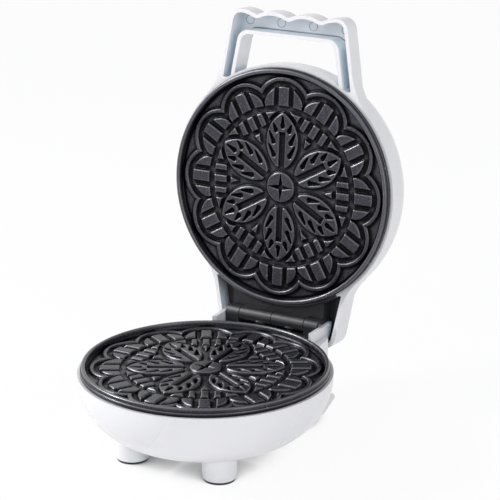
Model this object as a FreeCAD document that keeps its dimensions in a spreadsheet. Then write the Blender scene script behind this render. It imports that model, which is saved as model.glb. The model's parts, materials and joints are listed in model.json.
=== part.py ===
import FreeCAD, Part
import math
import os
import Sketcher
from FreeCAD import Placement, Rotation, Vector

# A small wafer and cone maker with a hinged lid, shown open.
# Millimetres; x to the right, y to the rear, z up, standing on z = 0.
# Every piece is drawn with the lid closed and the plates centred on the z axis, and then set in place.

doc = FreeCAD.newDocument("wafer_maker")

# Driving dimensions
SIZES = [
    ("open_angle", 93.85, "lid opening angle, degrees"),
    ("wall", 2.4, "moulded wall"),
    ("fit_gap", 0.3, "gap between pieces that fit together"),
    ("bowl_radius", 36.0, "radius of the bowl's rounded side"),
    ("bowl_band", 1.2, "upright band above the bowl's rounded side"),
    ("bowl_clearance", 10.0, "height of the bowl's underside above the table"),
    ("dome_radius", 24.0, "radius of the lid's rounded side"),
    ("dome_band", 9.0, "upright band at the lid's edge"),
    ("ledge_depth", 4.0, "depth of the ring that carries a plate"),
    ("plate_radius", 70.0, "outer radius of a plate's rim"),
    ("plate_reveal", 1.6, "edge of the housings outside the plates' rims"),
    ("rim_height", 4.6, "height of a plate's rim outside its housing"),
    ("lip_width", 3.2, "width of the rim's raised lip"),
    ("lip_height", 2.4, "height of the lip above the cooking face"),
    ("rim_seat", 3.8, "width of a rim's seat on its housing"),
    ("spigot_depth", 3.7, "depth of the plate inside its housing"),
    ("plate_gap", 0.5, "gap between the rims with the lid closed"),
    ("groove_depth", 1.8, "depth of the rosette's grooves"),
    ("rosette_margin", 2.0, "plain border between the rosette and the rim's lip"),
    ("boss_radius", 4.0, "plate boss radius"),
    ("boss_length", 7.4, "plate boss length"),
    ("screw_radius", 1.6, "shank radius of the screws"),
    ("screw_bite", 5.0, "length of a screw in its boss"),
    ("screw_head_radius", 3.2, "head radius of the screws"),
    ("screw_head_height", 2.2, "head height of the screws"),
    ("heater_inset", 12.2, "element's ring inside the plate's spigot"),
    ("heater_tube", 3.2, "radius of the element's tube"),
    ("heater_pin", 1.6, "radius of the element's pins"),
    ("heater_pin_length", 12.0, "length of the element's pins"),
    ("heater_gap_angle", 30.0, "angle left open in the element's ring, degrees"),
    ("shield_inset", 4.2, "edge of the heat shields inside the plate's spigot"),
    ("shield_sheet", 0.8, "sheet thickness of the heat shields"),
    ("front_leg_x", 28.0, "front legs, each side of the middle"),
    ("front_leg_inset", 38.8, "front legs, behind the front of the base"),
    ("rear_leg_x", 24.0, "rear legs, each side of the middle"),
    ("rear_leg_inset", 24.5, "rear legs, forward of the rear of the base"),
    ("leg_top_radius", 10.2, "leg radius inside the bowl"),
    ("leg_radius", 9.2, "leg radius at its pad"),
    ("leg_bore", 4.2, "radius of the recess in a leg"),
    ("pad_height", 1.5, "height of a foot pad"),
    ("pad_radius", 8.8, "radius of a foot pad"),
    ("pad_stem", 5.0, "length of a foot pad's stem"),
    ("rear_screw_y", 29.0, "rear base screw, behind the plate axis"),
    ("seat_height", 7.0, "height of the post seats above the bowl's underside"),
    ("head_recess", 3.0, "height of the screw seats above the bowl's underside"),
    ("seat_radius", 6.5, "radius of the post seats"),
    ("post_radius", 4.0, "radius of the posts"),
    ("hinge_reach", 7.3, "hinge axis behind the housings' round edge"),
    ("hinge_rise", 1.2, "hinge axis above the lower rim"),
    ("knuckle_radius", 4.2, "hinge barrel radius"),
    ("pin_radius", 1.8, "hinge pin radius"),
    ("pin_clearance", 0.05, "running clearance round the hinge pin"),
    ("barrel_half", 30.5, "half the length of the hinge barrel"),
    ("outer_knuckle", 9.0, "length of an outer knuckle"),
    ("knuckle_gap", 0.4, "gap between knuckles"),
    ("tongue_root_step", 0.5, "front corners of the lid's tongue behind the round edge"),
    ("tongue_taper", 6.3, "half width that the lid's tongue loses towards its tip"),
    ("tongue_side", 7.2, "tip of the lid's tongue outside each end of the hinge barrel"),
    ("lid_tongue_reach", 14.3, "rear of the lid's tongue behind the hinge axis"),
    ("tongue_height", 17.0, "height of the lid's tongue"),
    ("tongue_corner", 9.0, "corner radius of the tongues"),
    ("tongue_round", 3.0, "rounding along the top of the lid's tongue"),
    ("base_taper", 4.6, "half width that the base's tongue loses towards its tip"),
    ("base_side", 5.9, "tip of the base's tongue outside each end of the hinge barrel"),
    ("base_tongue_reach", 2.6, "rear of the base's tongue behind the hinge axis"),
    ("base_corner", 5.0, "corner radius of the base's tongue"),
    ("tongue_clearance", 9.0, "height of the base tongue's underside above the table"),
    ("ear_sheet", 2.2, "thickness of the hinge ears"),
    ("ear_reach", 10.5, "reach of the hinge ears from the hinge axis"),
    ("ear_rise", 0.6, "top of the hinge ears above the hinge axis"),
    ("foot_lip", 4.2, "reach of the lip at the foot of the tongue"),
    ("foot_lip_height", 3.4, "height of that lip's slope"),
    ("foot_edge", 1.4, "thickness of that lip's edge"),
    ("block_height", 3.6, "thickness of the base hinge block's bridge"),
    ("block_depth", 7.2, "depth of the base hinge block, front to rear"),
    ("block_screw_x", 10.0, "base hinge screws, each side of the middle"),
    ("liner_rise", 1.1, "liner face above the lid's edge"),
    ("liner_sheet", 2.2, "liner thickness"),
    ("liner_rear", 4.8, "reach of the liner's raised middle behind the hinge axis"),
    ("tray_depth", 8.0, "depth of the liner's side trays behind its face"),
    ("liner_screw_x", 15.0, "liner screws, each side of the middle"),
    ("liner_bite", 3.4, "length of a liner screw in its boss"),
    ("handle_flare", 45.0, "radius that blends the lid's round side into its handle"),
    ("tongue_flare", 30.0, "radius that blends the lid's round side into its tongue"),
    ("flare_step", 0.8, "top of those blends below the rounding of the handle and the tongue"),
    ("handle_root_step", 1.75, "root corners of the handle in front of the round edge"),
    ("handle_root_half", 44.3, "half width of the handle at its root"),
    ("handle_length", 26.7, "valleys of the handle's edge in front of the round edge"),
    ("handle_tip_inset", 4.0, "sides of the handle inside the ends of its finger rests"),
    ("handle_height", 14.0, "height of the handle's section"),
    ("handle_wall", 2.2, "wall of the handle"),
    ("finger_pitch", 20.8, "pitch of the four finger rests"),
    ("finger_rise", 2.8, "height of the finger rests"),
    ("valley_round", 2.6, "rounding between the finger rests"),
    ("handle_corner", 7.0, "corner radius of the handle"),
    ("handle_round", 3.0, "rounding along the top of the handle"),
    ("handle_bar", 11.4, "bar of the handle, from its valleys to the finger opening"),
    ("opening_front_side", 7.8, "side of the handle beside the front of the finger opening"),
    ("opening_root_depth", 7.6, "root of the finger opening behind the front of the round edge"),
    ("opening_root_side", 10.3, "side of the handle beside the root of the finger opening"),
    ("opening_corner", 5.0, "corner radius of the finger opening"),
    ("gland_height", 25.0, "cord gland above the table"),
    ("gland_radius", 5.7, "radius of the cord gland's neck"),
    ("gland_bore", 3.5, "bore radius of the cord gland"),
    ("gland_flange", 8.5, "flange radius of the cord gland"),
    ("gland_flange_height", 2.0, "flange thickness of the cord gland"),
    ("gland_neck", 6.5, "length of the cord gland's neck"),
    ("block_half", 19.0, "half width of the terminal block"),
    ("terminal_depth", 9.0, "depth of the terminal block, front to rear"),
    ("terminal_height", 9.0, "height of the terminal block"),
    ("terminal_hole", 4.0, "depth of the terminal block's holes"),
    ("stat_radius", 8.0, "thermostat body radius"),
    ("stat_height", 9.0, "thermostat body height"),
    ("stat_cap", 6.0, "thermostat sensing cap radius"),
    ("stat_ear", 16.0, "half length of the thermostat's ears"),
    ("stat_ear_width", 10.0, "width of the thermostat's ears"),
    ("stat_ear_sheet", 1.0, "thickness of the thermostat's ears"),
    ("blade_width", 4.8, "width of the thermostat's blades"),
    ("blade_sheet", 0.8, "thickness of the thermostat's blades"),
    ("blade_length", 6.0, "length of the thermostat's blades"),
    ("blade_pitch", 8.0, "distance between the thermostat's blades"),
    ("fuse_radius", 2.2, "thermal fuse radius"),
    ("fuse_length", 14.0, "thermal fuse length"),
    ("fuse_place", 26.0, "thermal fuses, forward of the plate axis"),
    ("fuse_lead", 0.6, "radius of a thermal fuse's leads"),
    ("fuse_lead_length", 9.0, "length of a thermal fuse's leads"),
    ("upper_screw_ring", 38.0, "radius of the upper plate's screw circle"),
    ("centre_tube", 6.5, "radius of the lid's centre tube"),
    ("centre_seat", 8.0, "depth of the centre screw's seat below the lid's top"),
    ("cap_radius", 8.0, "radius of the lid's centre cap"),
    ("cap_height", 1.6, "thickness of the lid's centre cap"),
    ("cap_stem", 3.0, "length of the centre cap's stem"),
    ("lens_place", 29.0, "indicator lens, forward of the plate axis"),
    ("lens_radius", 3.8, "indicator lens radius"),
    ("lens_flange", 5.4, "indicator lens flange radius"),
    ("lens_flange_height", 1.6, "indicator lens flange thickness"),
    ("lens_rise", 0.9, "height of the indicator lens above the lid"),
    ("lamp_radius", 2.6, "indicator lamp radius"),
    ("lamp_length", 7.0, "indicator lamp length"),
]

# Sizes and places that follow from them
TIED = [
    ("housing_radius", "=plate_radius + plate_reveal", "outer radius of both housings at their edge"),
    ("spigot_radius", "=plate_radius - rim_seat", "radius of the plate inside its housing"),
    ("heater_ring", "=spigot_radius - heater_inset", "radius of the element's ring"),
    ("shield_radius", "=spigot_radius - shield_inset", "outer radius of the heat shields"),
    ("hinge_y", "=housing_radius + hinge_reach", "hinge axis, behind the plate axis"),
    ("inner_knuckle", "=barrel_half - outer_knuckle", "half the length of the inner pair of knuckles"),
    ("lid_tongue_y", "=hinge_y + lid_tongue_reach", "rear of the lid's tongue"),
    ("tongue_tip_half", "=barrel_half + tongue_side", "half width of the lid's tongue at its tip"),
    ("tongue_root_half", "=tongue_tip_half + tongue_taper", "half width of the lid's tongue at its root"),
    (
        "tongue_root_y",
        "=sqrt(housing_radius ^ 2 - tongue_root_half ^ 2) + tongue_root_step",
        "front of the tongues, behind the plate axis",
    ),
    ("base_tongue_y", "=hinge_y + base_tongue_reach", "rear of the base's tongue"),
    ("base_tip_half", "=barrel_half + base_side", "half width of the base's tongue at its tip"),
    ("base_root_half", "=base_tip_half + base_taper", "half width of the base's tongue at its root"),
    ("front_leg_y", "=housing_radius - front_leg_inset", "front legs, forward of the plate axis"),
    ("rear_leg_y", "=base_tongue_y - rear_leg_inset", "rear legs, behind the plate axis"),
    (
        "liner_screw_y",
        "=hinge_y + liner_rear + fit_gap + screw_head_radius",
        "liner screws, clear of the liner's raised middle",
    ),
    (
        "handle_root_y",
        "=sqrt(housing_radius ^ 2 - handle_root_half ^ 2) + handle_root_step",
        "handle root, forward of the plate axis",
    ),
    ("handle_tip_y", "=housing_radius + handle_length", "valleys of the handle's edge"),
    ("handle_tip_half", "=2 * finger_pitch - handle_tip_inset", "half width of the handle at its tip"),
    ("opening_front_y", "=handle_tip_y - handle_bar", "front of the finger opening"),
    ("opening_front_half", "=handle_tip_half - opening_front_side", "half width of the opening at its front"),
    ("opening_root_y", "=housing_radius - opening_root_depth", "root of the finger opening"),
    ("opening_root_half", "=handle_root_half - opening_root_side", "half width of the opening at its root"),
    (
        "round_rise",
        "=rim_height + plate_gap + dome_band - hinge_rise",
        "centre of the lid's rounding above the hinge",
    ),
    (
        "round_reach",
        "=hinge_y + housing_radius - dome_radius",
        "centre of the lid's rounding in front of the hinge",
    ),
    (
        "open_rear",
        "=hinge_y + dome_radius + round_rise * sin(open_angle * 1 deg)"
        " - round_reach * cos(open_angle * 1 deg)",
        "rear of the open lid, behind the plate axis",
    ),
    (
        "frame_offset",
        "=(open_rear - housing_radius) / 2",
        "middle of the open appliance, behind the plate axis",
    ),
]

sheet = doc.addObject("Spreadsheet::Sheet", "Sizes")
for row, (alias, number, note) in enumerate(SIZES + TIED, start=1):
    sheet.set("A%d" % row, str(number))
    sheet.set("B%d" % row, note)
    sheet.setAlias("A%d" % row, alias)
doc.recompute()


def size(alias):
    return float(sheet.get(alias))


# How far a cutting shape runs past the face that it opens
OVERCUT = 1.0

# Heights that several pieces share, first as expressions for the document
BASE_EDGE = "(Sizes.bowl_clearance + Sizes.bowl_radius + Sizes.bowl_band)"
LOWER_UNDER = "(%s - Sizes.spigot_depth)" % BASE_EDGE
LOWER_PAN = "(%s - Sizes.boss_length)" % LOWER_UNDER
LOWER_PAN_BELOW = "(%s - Sizes.shield_sheet)" % LOWER_PAN
LID_EDGE = "(%s + 2 * Sizes.rim_height + Sizes.plate_gap)" % BASE_EDGE
UPPER_BACK = "(%s + Sizes.spigot_depth)" % LID_EDGE
UPPER_PAN = "(%s + Sizes.boss_length)" % UPPER_BACK
UPPER_PAN_ABOVE = "(%s + Sizes.shield_sheet)" % UPPER_PAN
LID_TOP = "(%s + Sizes.dome_band + Sizes.dome_radius)" % LID_EDGE
SEAT_TOP = "(Sizes.bowl_clearance + Sizes.seat_height)"
HEAD_SEAT = "(Sizes.bowl_clearance + Sizes.head_recess)"
PIN_ANGLE = "(Sizes.heater_gap_angle / 2)"

# The same heights as numbers, for the shapes made in code
base_edge = size("bowl_clearance") + size("bowl_radius") + size("bowl_band")
lower_under = base_edge - size("spigot_depth")
lid_edge = base_edge + 2 * size("rim_height") + size("plate_gap")
upper_back = lid_edge + size("spigot_depth")
upper_pan_above = upper_back + size("boss_length") + size("shield_sheet")
lid_top = lid_edge + size("dome_band") + size("dome_radius")
hinge_z = base_edge + size("rim_height") + size("hinge_rise")
seat_top = size("bowl_clearance") + size("seat_height")
head_seat = size("bowl_clearance") + size("head_recess")
screw_hole = size("screw_radius") + size("fit_gap")
head_hole = size("screw_head_radius") + size("fit_gap")
pin_y = size("heater_ring") * math.cos(math.radians(size("heater_gap_angle") / 2))

# Where the screws stand
base_screw_places = [
    (-size("front_leg_x"), -size("front_leg_y")),
    (size("front_leg_x"), -size("front_leg_y")),
    (0.0, size("rear_screw_y")),
]
upper_screw_places = []
for turn in (90, 210, 330):
    upper_screw_places.append((
        size("upper_screw_ring") * math.cos(math.radians(turn)),
        size("upper_screw_ring") * math.sin(math.radians(turn)),
    ))

# Placements: the whole stands with the middle of its box on the origin, and the lid turns back on its hinge
BASE_PLACE = Placement(Vector(0, -size("frame_offset"), 0), Rotation())
LID_PLACE = BASE_PLACE * Placement(
    Vector(0, 0, 0),
    Rotation(Vector(1, 0, 0), -size("open_angle")),
    Vector(0, size("hinge_y"), hinge_z),
)

nodes = []


def keep(item, label, place):
    item.Label = label
    item.Placement = place
    nodes.append(item)
    return item


def coded(label, shape, place):
    item = doc.addObject("Part::Feature", label)
    item.Shape = shape
    return keep(item, label, place)


def at(x, y, z=0.0):
    return Placement(Vector(x, y, z), Rotation())


# Where a sketch's corners wait before their expressions place them
START_RADIUS = 2.0


# Document objects whose sizes are expressions
def cylinder(name, radius, height, x="0", y="0", z="0", turn=None):
    item = doc.addObject("Part::Cylinder", name)
    if turn is not None:
        item.Placement = Placement(Vector(0, 0, 0), turn)
    item.setExpression("Radius", radius)
    item.setExpression("Height", height)
    item.setExpression("Placement.Base.x", x)
    item.setExpression("Placement.Base.y", y)
    item.setExpression("Placement.Base.z", z)
    return item


def box(name, length, width, height, x, y, z):
    item = doc.addObject("Part::Box", name)
    item.setExpression("Length", length)
    item.setExpression("Width", width)
    item.setExpression("Height", height)
    item.setExpression("Placement.Base.x", x)
    item.setExpression("Placement.Base.y", y)
    item.setExpression("Placement.Base.z", z)
    return item


def fused(name, pieces):
    item = doc.addObject("Part::MultiFuse", name)
    item.Shapes = pieces
    return item


def cut(name, solid, tool):
    item = doc.addObject("Part::Cut", name)
    item.Base = solid
    item.Tool = tool
    return item


def gathered(name, pieces):
    item = doc.addObject("Part::Compound", name)
    item.Links = pieces
    return item


def revolved(label, corners, place):
    """A body turned from a closed outline of (radius, height) expressions."""
    body = doc.addObject("PartDesign::Body", label)
    sketch = body.newObject("Sketcher::SketchObject", label + "_outline")
    for plane in body.Origin.OriginFeatures:
        if plane.Role == "XZ_Plane":
            sketch.AttachmentSupport = [(plane, "")]
    sketch.MapMode = "FlatFace"
    count = len(corners)
    ring = []
    for index in range(count):
        turn = 2 * math.pi * index / count
        ring.append(Vector(START_RADIUS + math.cos(turn), math.sin(turn), 0))
    for index in range(count):
        sketch.addGeometry(Part.LineSegment(ring[index], ring[(index + 1) % count]), False)
    for index in range(count):
        sketch.addConstraint(Sketcher.Constraint("Coincident", index, 2, (index + 1) % count, 1))
    for index, (radius, height) in enumerate(corners):
        across = sketch.addConstraint(
            Sketcher.Constraint("DistanceX", -1, 1, index, 1, ring[index].x)
        )
        sketch.setExpression("Constraints[%d]" % across, radius)
        upward = sketch.addConstraint(
            Sketcher.Constraint("DistanceY", -1, 1, index, 1, ring[index].y)
        )
        sketch.setExpression("Constraints[%d]" % upward, height)
    doc.recompute()
    turned = body.newObject("PartDesign::Revolution", label + "_turned")
    turned.Profile = sketch
    turned.ReferenceAxis = (sketch, ["V_Axis"])
    turned.Angle = 360.0
    doc.recompute()
    return keep(body, label, place)


# Shapes made in code
def drum(radius, low, high, x=0.0, y=0.0):
    return Part.makeCylinder(radius, high - low, Vector(x, y, low))


def slab(x_low, x_high, y_low, y_high, z_low, z_high):
    return Part.makeBox(x_high - x_low, y_high - y_low, z_high - z_low, Vector(x_low, y_low, z_low))


def spun(edges):
    face = Part.Face(Part.Wire(edges))
    return face.revolve(Vector(0, 0, 0), Vector(0, 0, 1), 360)


def polygon(corners):
    points = [Vector(*corner) for corner in corners]
    return Part.makePolygon(points + points[:1])


def prism(wire, direction):
    return Part.Face(wire).extrude(direction)


# How far an edge may lie from the height at which it is looked for
SAME_HEIGHT = 1e-6


def level_edges(solid, height):
    found = []
    for edge in solid.Edges:
        extent = edge.BoundBox
        if abs(extent.ZMin - height) < SAME_HEIGHT and abs(extent.ZMax - height) < SAME_HEIGHT:
            found.append(edge)
    return found


def round_profile(radius, side, band, base, direction):
    """Half outline of a flat-topped dome: band, quarter-round side and flat end, closed on the axis."""
    flat = radius - side
    corner = base + direction * band
    end = corner + direction * side
    middle = side * math.sqrt(0.5)
    return [
        Part.LineSegment(Vector(0, 0, base), Vector(radius, 0, base)).toShape(),
        Part.LineSegment(Vector(radius, 0, base), Vector(radius, 0, corner)).toShape(),
        Part.Arc(
            Vector(radius, 0, corner),
            Vector(flat + middle, 0, corner + direction * middle),
            Vector(flat, 0, end),
        ).toShape(),
        Part.LineSegment(Vector(flat, 0, end), Vector(0, 0, end)).toShape(),
        Part.LineSegment(Vector(0, 0, end), Vector(0, 0, base)).toShape(),
    ]


def housing_cavity(side, band, base, direction):
    """Inside of a housing: the ledge's bore, then the room behind it."""
    inner = size("housing_radius") - size("wall")
    bore = size("spigot_radius") + size("fit_gap")
    mouth = base - direction * OVERCUT
    back = base + direction * size("ledge_depth")
    low, high = sorted([mouth, back])
    room = spun(round_profile(inner, side - size("wall"), band + OVERCUT, mouth, direction))
    ring = drum(inner + OVERCUT, low, high).cut(drum(bore, low, high))
    return room.cut(ring)


# The rosette: raised islands inside a scalloped rib, drawn for lobes that reach LOBE_PEAK
LOBES = 12
LOBE_PEAK = 64.8
CUSP_RADIUS = 58.6
RIB_WIDTH = 2.3
LOBE_GROOVE = 3.2
LOBE_GAP = 0.6
BAR_INSIDE = 3.35
BAR_OUTSIDE = 6.25
RING_INSIDE = 44.5
RING_OUTSIDE = 47.9
PETALS = 6
PETAL_ROOT = 12.0
PETAL_ROOT_HALF = 3.4
PETAL_WIDE = 26.0
PETAL_HALF = 10.3
PETAL_TIP = 44.2
PETAL_GROOVE = 2.6
STEM_HALF = 1.8
STEM_END = 32.4
HUB_RADIUS = 8.9
FAN_INSIDE = 36.2
FAN_LINES = ((2.2, 5.1), (8.7, 11.5))
LEAST_ISLAND = 1.5
ARROW_TIP = 28.2
ARROW_BASE = 33.4
ARROW_HALF = 1.9
SEEDS = ((38.3, 0.0, 0.0, 7.0), (34.8, 4.9, 23.0, 5.6), (29.0, 6.8, 25.0, 8.0), (21.3, 6.5, 29.0, 8.2))
SEED_HALF = 1.4
STAR_POINT = 6.6
STAR_NECK = 1.7


def polar(radius, degrees):
    return Vector(radius * math.cos(math.radians(degrees)), radius * math.sin(math.radians(degrees)), 0)


def turned_wire(wire, degrees):
    copy = wire.copy()
    copy.rotate(Vector(0, 0, 0), Vector(0, 0, 1), degrees)
    return copy


def lobe_circle(inset):
    """Centre and radius of a lobe's outline on the x axis, drawn in by an inset."""
    cusp = polar(CUSP_RADIUS, 180.0 / LOBES)
    centre = (LOBE_PEAK ** 2 - CUSP_RADIUS ** 2) / (2 * (LOBE_PEAK - cusp.x))
    return centre, LOBE_PEAK - centre - inset


def scallop_wire(inset):
    step = 360.0 / LOBES
    centre, radius = lobe_circle(inset)
    aside = polar(centre, step / 2)
    cusp = aside.x + math.sqrt(radius ** 2 - aside.y ** 2)
    edges = []
    for index in range(LOBES):
        middle = index * step
        edges.append(Part.Arc(
            polar(cusp, middle - step / 2),
            polar(centre + radius, middle),
            polar(cusp, middle + step / 2),
        ).toShape())
    return Part.Wire(edges)


def lobe_islands():
    """Three blocks inside one lobe, on the x axis."""
    centre, radius = lobe_circle(RIB_WIDTH + LOBE_GROOVE)
    half = 180.0 / LOBES
    start = LOBE_GAP / math.sin(math.radians(half))
    wedge = Part.Face(polygon([
        (start, 0, 0),
        tuple(Vector(start, 0, 0) + polar(LOBE_PEAK, -half)),
        tuple(Vector(start, 0, 0) + polar(LOBE_PEAK, half)),
    ]))
    disc = Part.Face(Part.Wire(Part.makeCircle(radius, Vector(centre, 0, 0))))
    field = disc.common(wedge).cut(Part.Face(Part.Wire(Part.makeCircle(RING_OUTSIDE))))
    bars = []
    for side in (-1, 1):
        low = min(side * BAR_INSIDE, side * BAR_OUTSIDE)
        bars.append(Part.makePlane(LOBE_PEAK, BAR_OUTSIDE - BAR_INSIDE, Vector(0, low, 0)))
    return [face.OuterWire for face in field.cut(bars).Faces]


def petal_circle():
    """Centre and radius of the arc along a petal's side, with its axis on x."""
    side = Part.Circle(
        Vector(PETAL_ROOT, PETAL_ROOT_HALF, 0),
        Vector(PETAL_WIDE, PETAL_HALF, 0),
        Vector(PETAL_TIP, 0, 0),
    )
    return side.Center, side.Radius


def petal_face(margin):
    """Leaf with its axis on x, grown by a margin."""
    centre, radius = petal_circle()
    upper = Part.Face(Part.Wire(Part.makeCircle(radius + margin, centre)))
    lower = Part.Face(Part.Wire(Part.makeCircle(radius + margin, Vector(centre.x, -centre.y, 0))))
    reach = 2 * LOBE_PEAK
    beyond = Part.makePlane(reach, 2 * reach, Vector(PETAL_ROOT - margin, -reach, 0))
    return upper.common(lower).common(beyond)


def fan_islands():
    """Blocks between two petals and the arrowhead in front of them, with the fan's axis on x."""
    half = 180.0 / PETALS
    disc = Part.Face(Part.Wire(Part.makeCircle(RING_INSIDE)))
    field = disc.common(Part.makePlane(RING_INSIDE, 2 * RING_INSIDE, Vector(FAN_INSIDE, -RING_INSIDE, 0)))
    tools = []
    for side in (-half, half):
        leaf = petal_face(PETAL_GROOVE)
        leaf.rotate(Vector(0, 0, 0), Vector(0, 0, 1), side)
        tools.append(leaf)
    for near, far in FAN_LINES:
        for side in (-1, 1):
            low = min(side * near, side * far)
            tools.append(Part.makePlane(RING_INSIDE, far - near, Vector(0, low, 0)))
    wires = [face.OuterWire for face in field.cut(tools).Faces if face.Area > LEAST_ISLAND]
    arrow = polygon([(ARROW_TIP, 0, 0), (ARROW_BASE, -ARROW_HALF, 0), (ARROW_BASE, ARROW_HALF, 0)])
    return wires + [arrow]


def seed_wire(radius, aside, tilt, length):
    """Drop whose round end faces the hub."""
    nose = Vector(length / 2, 0, 0)
    bulge = SEED_HALF - length / 2
    edges = [
        Part.LineSegment(nose, Vector(bulge, SEED_HALF, 0)).toShape(),
        Part.Arc(
            Vector(bulge, SEED_HALF, 0),
            Vector(bulge - SEED_HALF, 0, 0),
            Vector(bulge, -SEED_HALF, 0),
        ).toShape(),
        Part.LineSegment(Vector(bulge, -SEED_HALF, 0), nose).toShape(),
    ]
    wire = Part.Wire(edges)
    wire.rotate(Vector(0, 0, 0), Vector(0, 0, 1), tilt)
    wire.translate(Vector(radius, aside, 0))
    return wire


def star_wire():
    corners = []
    for index in range(8):
        reach = STAR_POINT if index % 2 == 0 else STAR_NECK
        corners.append(polar(reach, 45 * index))
    return polygon(corners)


def rosette(face_height):
    """Solids that sink the field round the rosette's islands, and the marks in them, into a plate's face."""
    lobe_step = 360.0 / LOBES
    petal_step = 360.0 / PETALS
    islands = [scallop_wire(0.0), scallop_wire(RIB_WIDTH), Part.Wire(Part.makeCircle(HUB_RADIUS))]
    marks = [star_wire()]
    blocks = lobe_islands()
    for index in range(LOBES):
        islands += [turned_wire(wire, index * lobe_step) for wire in blocks]
    stem = Part.makePlane(STEM_END, 2 * STEM_HALF, Vector(0, -STEM_HALF, 0))
    leaf = [face.OuterWire for face in petal_face(0.0).cut(stem).Faces]
    fans = fan_islands()
    for index in range(PETALS):
        turn = index * petal_step
        islands += [turned_wire(wire, turn) for wire in fans]
        islands += [turned_wire(wire, turn + petal_step / 2) for wire in leaf]
        for radius, aside, tilt, length in SEEDS:
            sides = (1, -1) if aside else (1,)
            for side in sides:
                seed = seed_wire(radius, side * aside, side * tilt, length)
                marks.append(turned_wire(seed, turn + petal_step / 2))
    field_radius = size("plate_radius") - size("lip_width")
    grown = (field_radius - size("rosette_margin")) / LOBE_PEAK
    edge = Part.Wire(Part.makeCircle(field_radius / grown))
    faces = Part.makeFace([edge] + islands, "Part::FaceMakerBullseye").Faces
    faces += [Part.Face(wire) for wire in marks]
    cutters = []
    for face in faces:
        face.scale(grown)
        face.translate(Vector(0, 0, face_height))
        cutters.append(face.extrude(Vector(0, 0, -size("groove_depth"))))
    return cutters


def plate_shape(boss_places):
    """A plate that seats on z = 0, with its cooking face up and its bosses down."""
    rim = size("rim_height")
    face = rim - size("lip_height")
    under = -size("spigot_depth")
    shape = drum(size("plate_radius"), 0, rim).fuse(drum(size("spigot_radius"), under, 0))
    shape = shape.cut(drum(size("plate_radius") - size("lip_width"), face, rim))
    bosses = []
    holes = []
    for x, y in boss_places:
        bosses.append(drum(size("boss_radius"), under - size("boss_length"), under, x, y))
        holes.append(drum(
            screw_hole,
            under - size("boss_length"),
            under - size("boss_length") + size("screw_bite") + size("fit_gap"),
            x,
            y,
        ))
    shape = shape.fuse(bosses).removeSplitter().cut(holes)
    return shape.cut(rosette(face)).removeSplitter()


lower_plate_shape = plate_shape(base_screw_places)
upper_plate_shape = plate_shape([(x, -y) for x, y in upper_screw_places] + [(0.0, 0.0)])
coded("lower_plate", lower_plate_shape, BASE_PLACE * at(0, 0, base_edge))
FACE_DOWN = Placement(Vector(0, 0, lid_edge), Rotation(Vector(1, 0, 0), 180))
coded("upper_plate", upper_plate_shape, LID_PLACE * FACE_DOWN)


# Base housing
def rounded_outline(corners, radii, height):
    """A closed outline through the corners, each with an arc of its own radius."""
    points = [Vector(x, y, height) for x, y in corners]
    count = len(points)
    stops = []
    for index, radius in enumerate(radii):
        point = points[index]
        before = (points[index - 1] - point).normalize()
        after = (points[(index + 1) % count] - point).normalize()
        half = before.getAngle(after) / 2
        reach = radius / math.tan(half)
        inward = (before + after).normalize()
        middle = point + inward * (radius / math.sin(half) - radius)
        stops.append((point + before * reach, middle, point + after * reach, radius))
    edges = []
    for index, (first, middle, last, radius) in enumerate(stops):
        if radius > 0:
            edges.append(Part.Arc(first, middle, last).toShape())
        edges.append(Part.LineSegment(last, stops[(index + 1) % count][0]).toShape())
    return Part.Wire(edges)


def tongue_outline(root_half, tip_half, root_y, tip_y, corner, height):
    corners = [(-root_half, root_y), (root_half, root_y), (tip_half, tip_y), (-tip_half, tip_y)]
    return rounded_outline(corners, [0, 0, corner, corner], height)


def foot_outline(margin, height):
    """Foot of the base's tongue: its plan, drawn in under the bowl and grown by a margin."""
    root = size("bowl_radius")
    corners = [
        (-root, root),
        (root, root),
        (size("base_root_half") + margin, size("tongue_root_y")),
        (size("base_tip_half") + margin / 2, size("base_tongue_y") + margin),
        (-size("base_tip_half") - margin / 2, size("base_tongue_y") + margin),
        (-size("base_root_half") - margin, size("tongue_root_y")),
    ]
    corner = size("base_corner")
    return rounded_outline(corners, [0, 0, 2 * corner, corner, corner, 2 * corner], height)


def base_tongue():
    bottom = size("tongue_clearance")
    block = prism(
        tongue_outline(
            size("base_root_half"),
            size("base_tip_half"),
            size("bowl_radius"),
            size("base_tongue_y"),
            size("base_corner"),
            bottom,
        ),
        Vector(0, 0, base_edge - bottom),
    )
    edge_top = bottom + size("foot_edge")
    slope = Part.makeLoft([
        foot_outline(size("foot_lip"), edge_top),
        foot_outline(0.0, edge_top + size("foot_lip_height")),
    ], True, True)
    foot = prism(foot_outline(size("foot_lip"), bottom), Vector(0, 0, size("foot_edge")))
    return [block, slope, foot]


def hinge_ear(side):
    """Upright ear at one end of the hinge barrel, rounded about the hinge axis."""
    inside = size("barrel_half") + size("fit_gap")
    outside = inside + size("ear_sheet")
    left, right = sorted([side * inside, side * outside])
    top = hinge_z + size("ear_rise")
    reach = size("ear_reach")
    low = hinge_z - reach
    rounded = Part.makeCylinder(reach, right - left, Vector(left, size("hinge_y"), hinge_z), Vector(1, 0, 0))
    rounded = rounded.common(slab(left, right, size("hinge_y"), size("hinge_y") + reach, low, top))
    front = slab(left, right, size("tongue_root_y"), size("hinge_y"), low, top)
    return rounded.fuse(front).cut(drum(size("housing_radius"), low - OVERCUT, top + OVERCUT))


def base_tongue_room():
    wall = size("wall")
    floor = size("tongue_clearance") + wall
    wire = tongue_outline(
        size("base_root_half") - wall,
        size("base_tip_half") - wall,
        size("bowl_radius") + size("seat_radius"),
        size("base_tongue_y") - wall,
        size("base_corner") - wall,
        floor,
    )
    return prism(wire, Vector(0, 0, hinge_floor - wall - floor))


def leg(x, y, top):
    low = size("pad_height")
    return Part.makeCone(size("leg_radius"), size("leg_top_radius"), top - low, Vector(x, y, low))


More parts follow.
